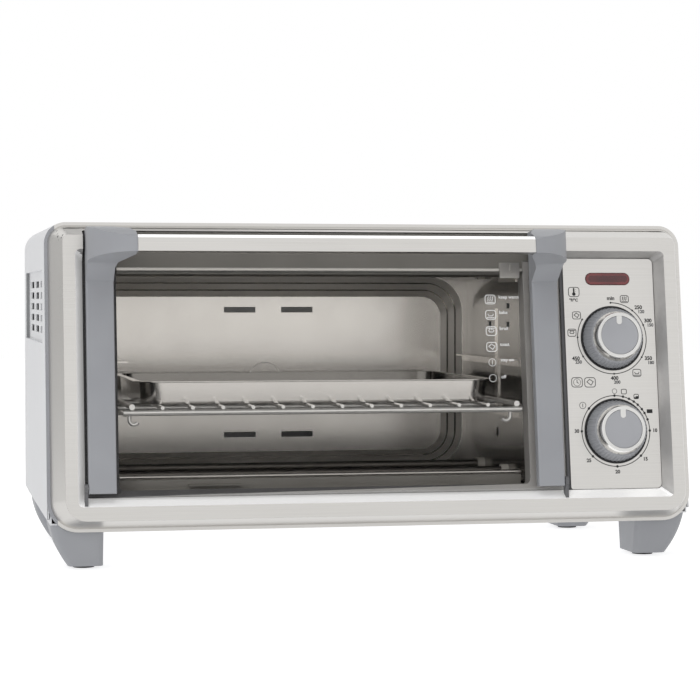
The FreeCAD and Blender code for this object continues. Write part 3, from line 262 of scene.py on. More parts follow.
flag("card_left", (1.4, 1.6), (-1.7, 1.3, 0.4), (0, 0, 0.15), 0.6)
flag("card_behind", (0.83, 0.5), (-0.125, 1.72, 1.83), (0.19, -0.1, 0.15), 0.03)
flag("card_floor", (1.6, 0.36), (0, -0.46, 0.002), (0, -0.46, 1), 0.1)

# %% [markdown]
# ## Finishes
# Each finish of the real oven is one material. They all read object coordinates in metres, so
# that grain has its true size: brushing streaks are long along the face and a fraction of a
# millimetre wide, powder coat has a fine orange peel, and mouldings have a spark-etched grain.

# %% Brushed steel
def brushed_steel(name, light, dark, rough, stretch, depth=0.00002, metal=1.0):
    """Steel brushed along one axis, with soft clouds where hands and cloths have been."""
    steel = Finish(name)
    streaks = steel.noise(2600, stretch, detail=4.0, rough=0.6)
    clouds = steel.noise(9, (1, 1, 1), detail=2.0)
    wear = streaks * 0.7 + clouds * 0.3
    return steel.surface(solid(
        steel, Base_Color=steel.tint(wear.between(0.3, 0.7), dark, light), Metallic=metal,
        Roughness=rough + (clouds - 0.5) * 0.08 + (streaks - 0.5) * 0.1,
        Normal=steel.bump(streaks, depth, 0.35)))


finishes = {
    "bezel_steel": brushed_steel("brushed_face_steel", (0.69, 0.675, 0.65),
                                 (0.63, 0.615, 0.59), 0.3, (260, 1, 1)),
    "sheet_steel": brushed_steel("galvanised_sheet", (0.62, 0.63, 0.64), (0.5, 0.51, 0.52),
                                 0.42, (60, 60, 1)),
    "bevel_steel": brushed_steel("burnished_bevel", (0.66, 0.65, 0.64), (0.56, 0.55, 0.54),
                                 0.38, (60, 60, 60), metal=0.6),
    "pin_steel": brushed_steel("turned_pins", (0.62, 0.61, 0.6), (0.5, 0.49, 0.48), 0.3,
                               (30, 1, 1)),
}

# %% [markdown]
# Two bevels of the bezel look brighter than the lamps alone make them. They could be lit by a
# lamp of their own, which would also light the rest. Instead they have a faint glow, so they stay
# a little too bright where the light is dim.

# %% Bevels with a faint glow
def lit_bevel(name, shade, glow):
    """Half-polished steel with a faint, even glow, a painted light that no lamp gives."""
    steel = Finish(name)
    clouds = steel.noise(30, (6, 1, 1), detail=3.0)
    return steel.surface(solid(
        steel, Base_Color=steel.tint(clouds.between(0.3, 0.7), [shade * 0.92] * 3, [shade] * 3),
        Metallic=0.3, Roughness=0.3, Emission_Color=(1, 0.99, 0.97, 1), Emission_Strength=glow))


finishes["side_bevel"] = lit_bevel("left_bevel_steel", 0.85, 0.24)
finishes["low_bevel"] = lit_bevel("low_bevel_steel", 0.95, 0.25)

# %% Bright chamber steel
def chamber_steel(name, light, dark, rough, low=1.0, metal=1.0):
    """Aluminised sheet with faint bake marks, whose foot is darker, at low times its colour, as painted shade."""
    steel = Finish(name)
    rolling = steel.noise(1500, (1, 120, 1), detail=3.0)
    marks = steel.noise(26, (1, 1, 1), detail=5.0, rough=0.65)
    height = steel.node("ShaderNodeSeparateXYZ", None, {"Vector": steel.object_point()}, output=2)
    colour = steel.node("ShaderNodeMix", {"data_type": "RGBA"}, {
        0: height.between(0.08, 0.21), 6: (*[c * low for c in light], 1),
        7: steel.tint(marks.between(0.35, 0.75), light, dark)}, output=2)
    return steel.surface(solid(
        steel, Base_Color=colour, Metallic=metal, Roughness=rough + marks * 0.08 + rolling * 0.05,
        Normal=steel.bump(rolling, 0.000002, 0.1)))


# The chamber steel darkens towards the floor, to 0.62 of its colour, as painted shade.
finishes["chamber_steel"] = chamber_steel("aluminised_chamber", (0.86, 0.835, 0.80),
                                          (0.82, 0.795, 0.76), 0.13, 0.62)
# A much darker copy of the chamber steel, a painted shade for the chamber's right wall and the pan's inside.
finishes["shaded_side_steel"] = chamber_steel("darker_chamber_side", (0.29, 0.28, 0.265),
                                       (0.26, 0.25, 0.235), 0.1)
# A paler, less metallic copy of the chamber steel, a painted light on the bulge's walls and the chamber floor.
finishes["lit_bulge_and_floor_steel"] = chamber_steel("drawn_bulge_steel", (0.92, 0.9, 0.87),
                                        (0.88, 0.86, 0.83), 0.34, metal=0.4)

# %% Chrome
def chrome(name, light, rough, grain, metal=1.0):
    """Bright plating over wire or a turned part, with fine waves of the metal below."""
    plate = Finish(name)
    waves = plate.noise(grain, detail=2.0)
    haze = plate.noise(40, detail=3.0)
    return plate.surface(solid(
        plate, Base_Color=plate.tint(haze, [c * 0.93 for c in light], light), Metallic=metal,
        Roughness=rough + haze * 0.06, Normal=plate.bump(waves, 0.000005, 0.1)))


finishes["rack_chrome"] = chrome("rack_plating", (0.97, 0.965, 0.95), 0.2, 700, 0.65)
finishes["knob_ring"] = chrome("knob_plating", (0.92, 0.91, 0.89), 0.05, 1200, 0.92)
finishes["pan_steel"] = brushed_steel("pan_sheet", (0.86, 0.84, 0.815), (0.8, 0.78, 0.755),
                                      0.14, (40, 40, 40), 0.000004)

# %% Moulded plastic
def moulding(name, light, dark, rough, grain=5200):
    """Plastic with the fine grain that spark erosion leaves in the mould."""
    plastic = Finish(name)
    etched = plastic.noise(grain, detail=2.0)
    flow = plastic.noise(18, detail=2.0)
    return plastic.surface(solid(
        plastic, Base_Color=plastic.tint(flow.between(0.3, 0.7), dark, light),
        Roughness=rough + (etched - 0.5) * 0.12,
        Normal=plastic.bump(etched, 0.00004, 0.4)))


finishes["grey_moulding"] = moulding("grey_moulding", (0.285, 0.292, 0.31),
                                     (0.262, 0.268, 0.286), 0.45)
finishes["frame_moulding"] = moulding("frame_moulding", (0.12, 0.12, 0.125),
                                      (0.10, 0.10, 0.105), 0.5)
finishes["cap_moulding"] = moulding("cap_moulding", (0.335, 0.34, 0.36),
                                    (0.31, 0.315, 0.333), 0.34)
finishes["unit_moulding"] = moulding("black_housing", (0.04, 0.04, 0.042),
                                     (0.03, 0.03, 0.032), 0.5)
finishes["rubber"] = moulding("black_rubber", (0.03, 0.03, 0.03), (0.02, 0.02, 0.02), 0.8,
                              2200)
finishes["ceramic"] = moulding("white_ceramic", (0.8, 0.78, 0.73), (0.72, 0.69, 0.64), 0.6,
                               1800)

# %% Powder-coated case
def powder_coat():
    """White powder coat with its orange peel."""
    paint = Finish("white_powder_coat")
    peel = paint.noise(900, detail=2.0)
    haze = paint.noise(6, detail=3.0)
    return paint.surface(solid(
        paint, Base_Color=paint.tint(haze.between(0.3, 0.7), (0.60, 0.605, 0.62),
                                     (0.635, 0.64, 0.655)),
        Roughness=0.36 + haze * 0.1, Normal=paint.bump(peel, 0.00006, 0.3)))


finishes["case_paint"] = powder_coat()

# %% [markdown]
# A few faces get a plain, dull finish that paints in shade and light. The plate above the mouth
# and the front of the crumb tray's lip are darkened as painted shade, the side of the opening is
# made pale as painted light, the bezel's creases are painted near black as shade, and the walls
# round the cooling slots are darkened as painted shade. They share the moulding's recipe, because
# all it needs is a colour, a little unevenness and a fine grain.

# %% Dull faces with painted shade and light
finishes["shaded_plate"] = moulding("heat_browned_plate", (0.3, 0.29, 0.27),
                                   (0.27, 0.26, 0.24), 0.35)
# A pale grey for the shaded side of the opening, a painted light.
finishes["lit_lip"] = moulding("pale_opening_lip", (0.62, 0.61, 0.60), (0.56, 0.55, 0.54), 0.4)
finishes["crease_shade"] = moulding("shaded_crease", (0.04, 0.04, 0.04), (0.03, 0.03, 0.03), 0.5)
finishes["shaded_paint"] = moulding("shaded_paint", (0.22, 0.225, 0.23), (0.20, 0.205, 0.21),
                                    0.5)

# %% Lens and lamp
def red_lens(name, deep, bright):
    """Dark red plastic that is lit a little at its ribs."""
    lens = Finish(name)
    clouds = lens.noise(160, (3, 1, 1), detail=2.0)
    return lens.surface(solid(
        lens, Base_Color=lens.tint(clouds.between(0.35, 0.7), deep, bright),
        Roughness=0.16 + clouds * 0.06, Coat_Weight=0.6, Coat_Roughness=0.06,
        Normal=lens.bump(clouds, 0.00005, 0.2)))


finishes["lens"] = red_lens("dark_red_lens", (0.11, 0.012, 0.014), (0.16, 0.02, 0.022))
finishes["lens_core"] = red_lens("lens_core", (0.05, 0.004, 0.006), (0.08, 0.008, 0.01))
finishes["lamp"] = red_lens("neon_lamp", (0.5, 0.16, 0.08), (0.6, 0.22, 0.1))

# %% Heating element
def element():
    """Sheath that has blued and browned with heat."""
    tube = Finish("heater_sheath")
    tone = tube.noise(30, detail=4.0)
    grains = tube.noise(2400, detail=2.0)
    colour = tube.node("ShaderNodeValToRGB", {"stops": [
        (0.3, (0.15, 0.14, 0.13)), (0.55, (0.20, 0.185, 0.17)), (0.75, (0.14, 0.13, 0.125))]},
        {"Fac": tone})
    return tube.surface(solid(
        tube, Base_Color=colour, Metallic=1.0, Roughness=0.36 + tone * 0.2,
        Normal=tube.bump(grains, 0.00003, 0.3)))


finishes["element"] = element()

# %% Door glass
def door_glass():
    """Lightly tinted glass: a gloss over a clear pane, so that light goes in and out."""
    glass = Finish("tinted_door_glass")
    smears = glass.noise(14, (1, 1, 3), detail=4.0)
    clear = glass.node("ShaderNodeBsdfTransparent", None, {"Color": (0.955, 0.95, 0.943, 1)})
    gloss = solid(glass, Base_Color=(0.02, 0.02, 0.02, 1), Metallic=0.0,
                  Roughness=0.03 + smears * 0.03)
    edge = glass.node("ShaderNodeFresnel", None, {"IOR": 1.45})
    return glass.surface(glass.node("ShaderNodeMixShader", None, {
        0: edge * 0.8, 1: clear, 2: gloss}))


finishes["door_glass"] = door_glass()

# %% Give every CAD node its finish
slots = {part["node"]: part["material_slot"] for part in frame["record"]["subparts"]}
bodies = {name: body for body, names in frame["record"]["behaviour"]["bodies"].items()
          for name in names}
for name, piece in frame["nodes"].items():
    piece.data.materials.clear()
    piece.data.materials.append(finishes[slots[name]])
print("painted", len(slots), "nodes with", len(finishes), "finishes")

# %% [markdown]
# ## The leaning face
# The front leans back, so the dials' own frame is used for all that sits on it: inward is the
# axis the knobs turn about, outward its reverse, and face_up runs up the panel.

# %% Directions on the face
joints = {joint["name"]: joint for joint in frame["joints"]}
inward = Vector(joints["temperature_turn"]["axis"]).normalized()
outward = -inward
sideways = Vector((1, 0, 0))
face_up = sideways.cross(inward)


def span(name, direction):
    """Lowest and highest reach of a CAD node along a direction."""
    along = [v.co.dot(direction) for v in frame["nodes"][name].data.vertices]
    return min(along), max(along)


def half_width(name):
    low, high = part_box(name)
    return (high.x - low.x) / 2


def on_face(centre, dx, dv, out):
    """The matrix of a spot on the face: dx across and dv up from a centre, at height out."""
    spot = Vector(centre)
    spot += outward * (out - spot.dot(outward)) + sideways * dx + face_up * dv
    turn = Matrix((sideways, face_up, outward)).transposed().to_4x4()
    return Matrix.Translation(spot) @ turn


dials = {name: Vector(joints[name + "_turn"]["pos_m"]) for name in ("temperature", "timer")}
panel_out = span("control_panel", outward)[1]
glass_out = span("door_glass", outward)[1]
print("panel face", round(panel_out, 5), "glass face", round(glass_out, 5))

# %% [markdown]
# ## Softened copies
# A pressed or moulded edge is never quite sharp. The CAD nodes have the right shape but knife
# edges, so the pieces that catch the light get a copy whose loose triangles are merged, whose
# flat faces are cleaned, and whose edges are rounded by a Bevel modifier. Weighted normals then
# keep the flat faces flat.

# %% Picking faces
def only(piece):
    """Leaves this piece alone selected and active."""
    bpy.ops.object.select_all(action="DESELECT")
    piece.select_set(True)
    bpy.context.view_layer.objects.active = piece


def pick(wanted):
    """Selects the faces of the piece in edit mode for which wanted(face) holds."""
    form = bmesh.from_edit_mesh(bpy.context.edit_object.data)
    for face in form.faces:
        face.select_set(wanted(face))
    form.select_flush_mode()
    bmesh.update_edit_mesh(bpy.context.edit_object.data)


def edit(piece):
    """Opens a piece alone in edit mode, by faces, with nothing selected."""
    only(piece)
    bpy.ops.object.mode_set(mode="EDIT")
    bpy.ops.mesh.select_mode(type="FACE")
    bpy.ops.mesh.select_all(action="DESELECT")


# %% Rounding edges
def round_over(piece, width, segments=2, angle=30):
    """Leaves edit mode and rounds the sharp edges."""
    if piece.mode == "EDIT":
        bpy.ops.object.mode_set(mode="OBJECT")
    only(piece)
    edge = piece.modifiers.new("rounded_edges", "BEVEL")
    edge.width, edge.segments, edge.angle_limit = width, segments, math.radians(angle)
    bpy.ops.object.modifier_apply(modifier=edge.name)
    bpy.ops.object.shade_smooth_by_angle(angle=math.radians(38))


# %% Settling a piece
def finish_piece(piece, body, slot_name, *stands_for):
    """Settles a piece on its body with its slot, and hides the nodes that it stands for."""
    only(piece)
    bpy.ops.object.transform_apply(location=True, rotation=True, scale=True)
    if not piece.data.materials:
        piece.data.materials.append(finishes[slot_name])
    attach(piece, body)
    if stands_for:
        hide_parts(*stands_for)
    print("piece", piece.name, len(piece.data.polygons), "faces")
    return piece


# %% Softening a copy
def soften(name, width):
    """A merged copy of a CAD node with its edges rounded."""
    piece = bpy.data.objects.new(name + "_soft", frame["nodes"][name].data.copy())
    bpy.context.collection.objects.link(piece)
    only(piece)
    bpy.ops.mesh.customdata_custom_splitnormals_clear()
    bpy.ops.object.mode_set(mode="EDIT")
    bpy.ops.mesh.select_all(action="SELECT")
    bpy.ops.mesh.remove_doubles(threshold=0.000002)
    bpy.ops.mesh.dissolve_limited(angle_limit=math.radians(0.5))
    round_over(piece, width)
    flat = piece.modifiers.new("flat_faces_stay_flat", "WEIGHTED_NORMAL")
    flat.keep_sharp, flat.weight = True, 100
    bpy.ops.object.modifier_apply(modifier=flat.name)
    return finish_piece(piece, bodies[name], slots[name], name)


# %% Soften what catches the light
softened = {}
edges = {
    "bezel": 0.0007, "control_panel": 0.0004, "front_frame": 0.0006, "outer_case": 0.0006,
    "handle_bar": 0.0006, "handle_grip": 0.0006, "door_bracket_left": 0.0012,
    "door_bracket_right": 0.0012, "foot_front_left": 0.001, "foot_front_right": 0.001,
    "foot_rear_left": 0.001, "foot_rear_right": 0.001, "indicator_lens": 0.0005,
    "bake_pan": 0.0003, "chamber_back": 0.0005, "chamber_liner": 0.0004, "mouth_trim": 0.0003,
    "crumb_tray": 0.0002,
}
for name, width in edges.items():
    softened[name] = soften(name, width)

# %% [markdown]
# ## Second finishes
# The bezel is one pressing whose flat band and outer chamfer are brushed, and whose bevel, which
# drops into the recess, is half polished. The frame's lip wears the same steel as the bezel. Each
# part could be cut off as a piece of its own. It is simpler to keep the mesh whole and give a face
# another finish when its place or its normal says so.

# %% Choosing faces
def split(piece, spot, normal):
    """Cuts the faces of a piece along a plane, so that each side can have its own finish."""
    edit(piece)
    bpy.ops.mesh.select_all(action="SELECT")
    bpy.ops.mesh.bisect(plane_co=spot, plane_no=normal)
    bpy.ops.object.mode_set(mode="OBJECT")


def refinish(piece, slot_name, wanted):
    """Gives another finish to the faces for which wanted(centre, normal) holds."""
    piece.data.materials.append(finishes[slot_name])
    chosen = [face for face in piece.data.polygons if wanted(face.center, face.normal)]
    for face in chosen:
        face.material_index = len(piece.data.materials) - 1
    print(piece.name, len(chosen), "faces in", slot_name)


face_low, face_high = span("bezel", outward)
middle = sum(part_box("bezel"), Vector()) / 2


def slope(centre, normal, least, way=None):
    """Whether a face slopes at least so much, and its side faces this way, or the middle."""
    aside = normal - outward * normal.dot(outward)
    towards = way or (middle - centre).normalized()
    return least < normal.dot(outward) < 0.96 and aside.normalized().dot(towards) > (
        0.6 if way else 0)


# %% Bezel and handle bar
refinish(softened["bezel"], "bevel_steel", lambda c, n: slope(c, n, 0.15))
refinish(softened["bezel"], "side_bevel",
         lambda c, n: slope(c, n, 0.15) and slope(c, n, 0.15, sideways))
refinish(softened["bezel"], "low_bevel",
         lambda c, n: slope(c, n, 0.15) and slope(c, n, 0.15, face_up))
# The bezel's creases are painted near black, a painted shade.
refinish(softened["bezel"], "crease_shade", lambda c, n: not slope(c, n, 0.15) and (
    slope(c, n, 0.45, -sideways) or slope(c, n, 0.45, -face_up)))
# The bar's top chamfer takes the glowing bevel too, a painted light.
refinish(softened["handle_bar"], "low_bevel", lambda c, n: slope(c, n, 0.2, face_up))

# %% Front frame
shaded_lip_edge = -0.252
opening_foot = 0.06
opening_side = (0.118, 0.135)
refinish(softened["front_frame"], "bezel_steel",
         lambda centre, normal: centre.dot(outward) < face_low + 0.0002 and normal.x > -0.7)
split(softened["front_frame"], (shaded_lip_edge, 0, 0), (1, 0, 0))
# Left of this edge the frame's lip wears the darker grey moulding, as painted shade.
refinish(softened["front_frame"], "grey_moulding", lambda centre, normal: centre.x < shaded_lip_edge)
# The opening's side faces at the right are made pale as painted light.
refinish(softened["front_frame"], "lit_lip", lambda centre, normal: (
    centre.z > opening_foot and opening_side[0] < centre.x < opening_side[1]))

# %% Indicator lens
edit(softened["indicator_lens"])
pick(lambda face: face.normal.dot(outward) > 0.98)
bpy.ops.mesh.inset(thickness=0.0016)
bpy.ops.object.mode_set(mode="OBJECT")
lens_middle = sum(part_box("indicator_lens"), Vector()) / 2
refinish(softened["indicator_lens"], "lens_core", lambda centre, normal: (
    normal.dot(outward) > 0.98 and (centre - lens_middle).cross(outward).length < 0.002))

# %% Case and base
frame["nodes"]["base_pan"].material_slots[0].material = finishes["case_paint"]
case_side = half_width("outer_case")
pocket_depth, below_roof = 0.0034, 0.25
# The side walls of the slot pockets are darkened, a painted shade.
refinish(softened["outer_case"], "shaded_paint", lambda centre, normal: (
    abs(normal.y) > 0.5 and case_side - pocket_depth < abs(centre.x) < case_side - 0.0001
    and centre.z < below_roof))

# %% Chamber
# The bulge's walls and the chamber floor take the paler copy, as painted light.
refinish(softened["chamber_back"], "lit_bulge_and_floor_steel", lambda centre, normal: (
    abs(normal.y) < 0.5 and centre.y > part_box("chamber_liner")[1].y - 0.003))
# The chamber's right wall takes the darker copy, as painted shade.
refinish(softened["chamber_liner"], "shaded_side_steel", lambda centre, normal: normal.x < -0.7)
refinish(softened["chamber_liner"], "lit_bulge_and_floor_steel", lambda centre, normal: normal.z > 0.7)
# The plate above the mouth and the front of the crumb tray's lip are darkened as painted shade.
trim_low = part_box("mouth_trim")[0].z
refinish(softened["mouth_trim"], "shaded_plate", lambda centre, normal: centre.z > trim_low + 0.015)
lip_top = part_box("crumb_tray")[1].z
refinish(softened["crumb_tray"], "shaded_plate", lambda centre, normal: (
    abs(normal.y) > 0.8 and centre.z < lip_top - 0.003))

# %% Painted shade inside the bake pan
pan_middle = sum(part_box("bake_pan"), Vector()) / 2
# The pan's inner walls are darkened as painted shade.
refinish(softened["bake_pan"], "shaded_side_steel", lambda centre, normal: (
    abs(normal.z) < 0.6 and normal.dot(pan_middle - centre) > 0))

# %% [markdown]
# ## Rotary knobs
# A knob is three parts pressed together: a ribbed skirt for the fingers, a plated ring and a cap
# with a pale pointer. A lathe profile could be spun, but a many-sided cone is quicker, and its
# side faces can be picked one by one for the ribs. All is built lying on the ground, with the
# axis up, and set on the panel at the end.

# %% Turning
def turned(name, sides, radius, top_radius, low, high):
    """A cone on the ground's axis, open for shaping in edit mode."""
    bpy.ops.object.select_all(action="DESELECT")
    bpy.ops.mesh.primitive_cone_add(vertices=sides, radius1=radius, radius2=top_radius,
                                    depth=high - low, location=(0, 0, (high + low) / 2))
    piece = bpy.context.object
    piece.name = name
    bpy.ops.object.transform_apply(location=True)
    edit(piece)
    return piece


# %% Skirt with finger ribs
def ribbed_skirt(name, spot, low, high):
    """A cone whose every second side face is inset and raised as a rib."""
    sides = 96
    skirt = turned(name + "_skirt", sides, half_width(name + "_knob") - 0.0004,
                   half_width(name + "_ring") + 0.0004, 0, high - low)
    pick(lambda face: abs(face.normal.z) < 0.9 and int(
        (math.atan2(face.calc_center_median().y, face.calc_center_median().x) + math.pi)
        / (2 * math.pi / sides)) % 2)
    bpy.ops.mesh.inset(thickness=0.00025, use_individual=True)
    bpy.ops.transform.shrink_fatten(value=0.0004)
    round_over(skirt, 0.00025, 1)
    skirt.matrix_world = on_face(spot, 0, 0, low)
    return finish_piece(skirt, name + "_dial", "grey_moulding", name + "_knob")


# %% Plated ring
def plated_ring(name, spot, low, high):
    """A tapered tube: both ends are inset and the two holes are bridged into a bore."""
    outer, bore = half_width(name + "_ring"), half_width(name + "_cap") + 0.0001
    rim = 0.0026
    ring = turned(name + "_plated_ring", 96, outer, bore + rim, 0, high - low)
    pick(lambda face: face.normal.z > 0.9)
    bpy.ops.mesh.inset(thickness=rim)
    pick(lambda face: face.normal.z < -0.9)
    bpy.ops.mesh.inset(thickness=outer - bore)
    pick(lambda face: abs(face.normal.z) > 0.9 and len(face.verts) == 96)
    bpy.ops.mesh.bridge_edge_loops()
    round_over(ring, 0.0003, 2)
    ring.matrix_world = on_face(spot, 0, 0, low)
    return finish_piece(ring, name + "_dial", "knob_ring", name + "_ring")


# %% Cap and pointer
def pointer_cap(name, spot, low, high):
    """A disc with a shallow dish, and a pointer slip let into it from the ring."""
    radius = half_width(name + "_cap") - 0.0001
    cap = turned(name + "_cap_disc", 96, radius, radius, 0, high - low)
    pick(lambda face: face.normal.z > 0.9)
    bpy.ops.mesh.inset(thickness=0.0008)
    bpy.ops.transform.translate(value=(0, 0, -0.00025))
    round_over(cap, 0.0002, 2)
    cap.matrix_world = on_face(spot, 0, 0, low)
    finish_piece(cap, name + "_dial", "cap_moulding", name + "_cap")
    bpy.ops.object.select_all(action="DESELECT")
    bpy.ops.mesh.primitive_cube_add(size=1, location=(0, radius - 0.0031, 0),
                                    scale=(0.0044, 0.0068, 0.0006))
    slip = bpy.context.object
    slip.name = name + "_pointer"
    bpy.ops.object.transform_apply(location=True, scale=True)
    only(slip)
    bpy.ops.object.mode_set(mode="EDIT")
    bpy.ops.mesh.select_mode(type="EDGE")
    form = bmesh.from_edit_mesh(slip.data)
    for edge in form.edges:
        tops = [v.co for v in edge.verts]
        edge.select_set(abs(tops[0].z - tops[1].z) > 0.0003 and tops[0].y < radius - 0.004)
    bmesh.update_edit_mesh(slip.data)
    bpy.ops.mesh.bevel(offset=0.0021, segments=8)
    round_over(slip, 0.0001, 1)
    slip.matrix_world = on_face(spot, 0, 0, high)
    return finish_piece(slip, name + "_dial", "pointer_ink")


# %% [markdown]
# The inks are dull and nearly even. Behind each knob lies a black ring: partly the dark gap that is
# left between the skirt and the panel, and partly a painted shadow of the knob on the panel.

# %% Pointer and inks
finishes["pointer_ink"] = moulding("pale_pointer", (0.66, 0.655, 0.64), (0.62, 0.615, 0.60),
                                   0.35)
finishes["ink"] = moulding("black_ink", (0.008, 0.008, 0.009), (0.012, 0.012, 0.013), 0.6)
finishes["grey_ink"] = moulding("grey_ink", (0.09, 0.09, 0.093), (0.12, 0.12, 0.123), 0.6)
finishes["white_ink"] = moulding("white_ink", (0.74, 0.74, 0.74), (0.68, 0.68, 0.68), 0.45)

# %% Both knobs
gap_and_shadow_radius, gap_clearance = 0.0264, 0.0003
for name, spot in dials.items():
    knob_low = span(name + "_knob", outward)[0]
    ring_low, ring_high = span(name + "_ring", outward)
    ribbed_skirt(name, spot, knob_low, ring_low)
    refinish(plated_ring(name, spot, ring_low, ring_high), "pointer_ink",
             lambda centre, normal: normal.dot(outward) > 0.9)
    pointer_cap(name, spot, ring_low, span(name + "_cap", outward)[1])
    # The black ring wears black ink, and stands for the gap under the skirt and a painted shadow round it.
    shade = turned(name + "_shadow_ring", 96, gap_and_shadow_radius, gap_and_shadow_radius, 0,
                   knob_low - panel_out - gap_clearance)
    round_over(shade, 0.0001, 1)
    shade.matrix_world = on_face(spot, 0, 0, panel_out)
    finish_piece(shade, "case", "ink")

# %% [markdown]
# ## Printing
# The scales are screen printed: flat ink a few hundredths of a millimetre thick. Every mark is
# a small flat mesh laid out on the ground in millimetres from the dial's centre, and one print
# joins them and moves to the face in one go. Words become meshes before they are placed.

# %% Marks of ink
thick = 0.00004
mm = 0.001


def add_mark(adder, **settings):
    """Adds one primitive and gives it the ink's thickness."""
    bpy.ops.object.select_all(action="DESELECT")
    adder(**settings)
    mark = bpy.context.object
    bpy.ops.object.transform_apply(location=True, rotation=True, scale=True)
    return mark


def thicken(mark):
    """Draws a flat mark up into a thin slab."""
    edit(mark)
    bpy.ops.mesh.select_all(action="SELECT")
    bpy.ops.mesh.extrude_region_move(TRANSFORM_OT_translate={"value": (0, 0, thick)})
    bpy.ops.mesh.select_all(action="SELECT")
    bpy.ops.mesh.normals_make_consistent(inside=False)
    bpy.ops.object.mode_set(mode="OBJECT")
    return mark


def word(text, tall, dx, dv, align="CENTER", weight=0.00016):
    """A word whose figures are tall millimetres high."""
    bpy.ops.object.select_all(action="DESELECT")
    bpy.ops.object.text_add(location=(dx * mm, dv * mm, 0))
    letters = bpy.context.object
    letters.data.body, letters.data.size = text, tall * mm / 0.69
    letters.data.align_x, letters.data.align_y = align, "CENTER"
    letters.data.resolution_u = 4
    letters.data.extrude = thick / 2
    letters.data.offset = weight
    bpy.ops.object.convert(target="MESH")
    only(letters)
    bpy.ops.object.transform_apply(location=True, rotation=True, scale=True)
    return letters


def dot(radius, dx, dv):
    return add_mark(bpy.ops.mesh.primitive_cylinder_add, vertices=20, radius=radius * mm,
                    depth=thick, location=(dx * mm, dv * mm, 0))


def stroke(start, end, width=0.55):
    """A straight line of ink between two points in millimetres."""
    along = Vector(end) - Vector(start)
    centre = (Vector(start) + Vector(end)) / 2 * mm
    return add_mark(bpy.ops.mesh.primitive_cube_add, size=1, location=(*centre, 0),
                    rotation=(0, 0, math.atan2(along.y, along.x)),
                    scale=((along.length + width) * mm, width * mm, thick))


def arc(radius, start, end, dx=0, dv=0, width=0.65):
    """A curved line, clockwise from start to end in degrees from the top, made by a spin."""
    turn = math.radians(end - start)
    first = math.radians(90 - start)
    bpy.ops.object.select_all(action="DESELECT")
    bpy.ops.mesh.primitive_plane_add(size=1)
    line = bpy.context.object
    edit(line)
    bpy.ops.mesh.select_mode(type="VERT")
    bpy.ops.mesh.select_all(action="SELECT")
    bpy.ops.mesh.merge(type="CENTER")
    bpy.ops.mesh.select_all(action="SELECT")
    bpy.ops.transform.translate(value=((radius - width / 2) * mm, 0, 0))
    bpy.ops.mesh.extrude_region_move(TRANSFORM_OT_translate={"value": (width * mm, 0, 0)})
    bpy.ops.mesh.select_all(action="SELECT")
    bpy.ops.mesh.spin(steps=max(8, int((end - start) / 4)), angle=turn, center=(0, 0, 0),
                      axis=(0, 0, 1))
    bpy.ops.mesh.select_all(action="SELECT")
    bpy.ops.mesh.remove_doubles(threshold=0.000005)
    bpy.ops.object.mode_set(mode="OBJECT")
    line.data.transform(Matrix.Translation((dx * mm, dv * mm, 0))
                        @ Matrix.Rotation(first, 4, "Z"))
    return thicken(line)


def badge(dx, dv, wide, tall, width=0.55):
    """The outline of a rounded square."""
    tile = add_mark(bpy.ops.mesh.primitive_plane_add, size=1)
    tile.data.transform(Matrix.Translation((dx * mm, dv * mm, 0))
                        @ Matrix.Diagonal((wide * mm, tall * mm, 1, 1)))
    edit(tile)
    bpy.ops.mesh.select_all(action="SELECT")
    bpy.ops.mesh.bevel(offset=min(wide, tall) * 0.28 * mm, segments=4, affect="VERTICES")
    bpy.ops.mesh.select_all(action="SELECT")
    bpy.ops.mesh.inset(thickness=width * mm)
    bpy.ops.mesh.delete(type="FACE")
    bpy.ops.object.mode_set(mode="OBJECT")
    return thicken(tile)


def lines(dx, dv, points, width=0.55):
    """Strokes through points given from a badge's centre."""
    spots = [(dx + x, dv + v) for x, v in points]
    return [stroke(a, b, width) for a, b in zip(spots, spots[1:])]


def printed(name, marks, spot, out, slot_name, body="case"):
    """Joins the marks and lays them on the face at height out."""
    bpy.ops.object.select_all(action="DESELECT")
    for mark in marks:
        mark.select_set(True)
    bpy.context.view_layer.objects.active = marks[0]
    bpy.ops.object.join()
    sheet = bpy.context.object
    sheet.name = name
    sheet.data.materials.clear()
    sheet.matrix_world = on_face(spot, 0, 0, out + thick)
    return finish_piece(sheet, body, slot_name)


# %% [markdown]
# The signs are everyday ones: waves for warm air, a pan under or over a heater, a slice of toast,
# a clock and a thermometer. Each could be a flat curve, but strokes of one width joined end to end
# look like the printed ones and need no filling.

# %% Signs
def sign(dx, dv, size):
    """The rounded outline that every sign sits in."""
    return badge(dx, dv, 7.4 * size, 6.4 * size)


def waves(dx, dv, size):
    """Rising heat over a line."""
    marks = [sign(dx, dv, size)]
    marks += lines(dx, dv, [(-2.2 * size, -1.9 * size), (2.2 * size, -1.9 * size)])
    for x in (-1.5, 0.0, 1.5):
        marks += lines(dx, dv, [(x * size - 0.5, -0.9 * size), (x * size + 0.2, 0.1 * size),
                                (x * size - 0.2, 0.9 * size), (x * size + 0.5, 1.9 * size)])
    return marks


def oven_shelf(dx, dv, size, top, low):
    """A dish between heater bars."""
    marks = [sign(dx, dv, size)]
    for on, v in ((top, 1.9), (low, -1.9)):
        if on:
            marks += lines(dx, dv, [(-2.4 * size, v * size), (2.4 * size, v * size)])
    marks += lines(dx, dv, [(-1.8 * size, 0.5 * size), (-1.3 * size, -0.7 * size),
                            (1.3 * size, -0.7 * size), (1.8 * size, 0.5 * size)])
    if top:
        for x in (-1.2, 0.0, 1.2):
            marks += lines(dx, dv, [(x * size, 1.6 * size), (x * size, 0.7 * size)])
    return marks


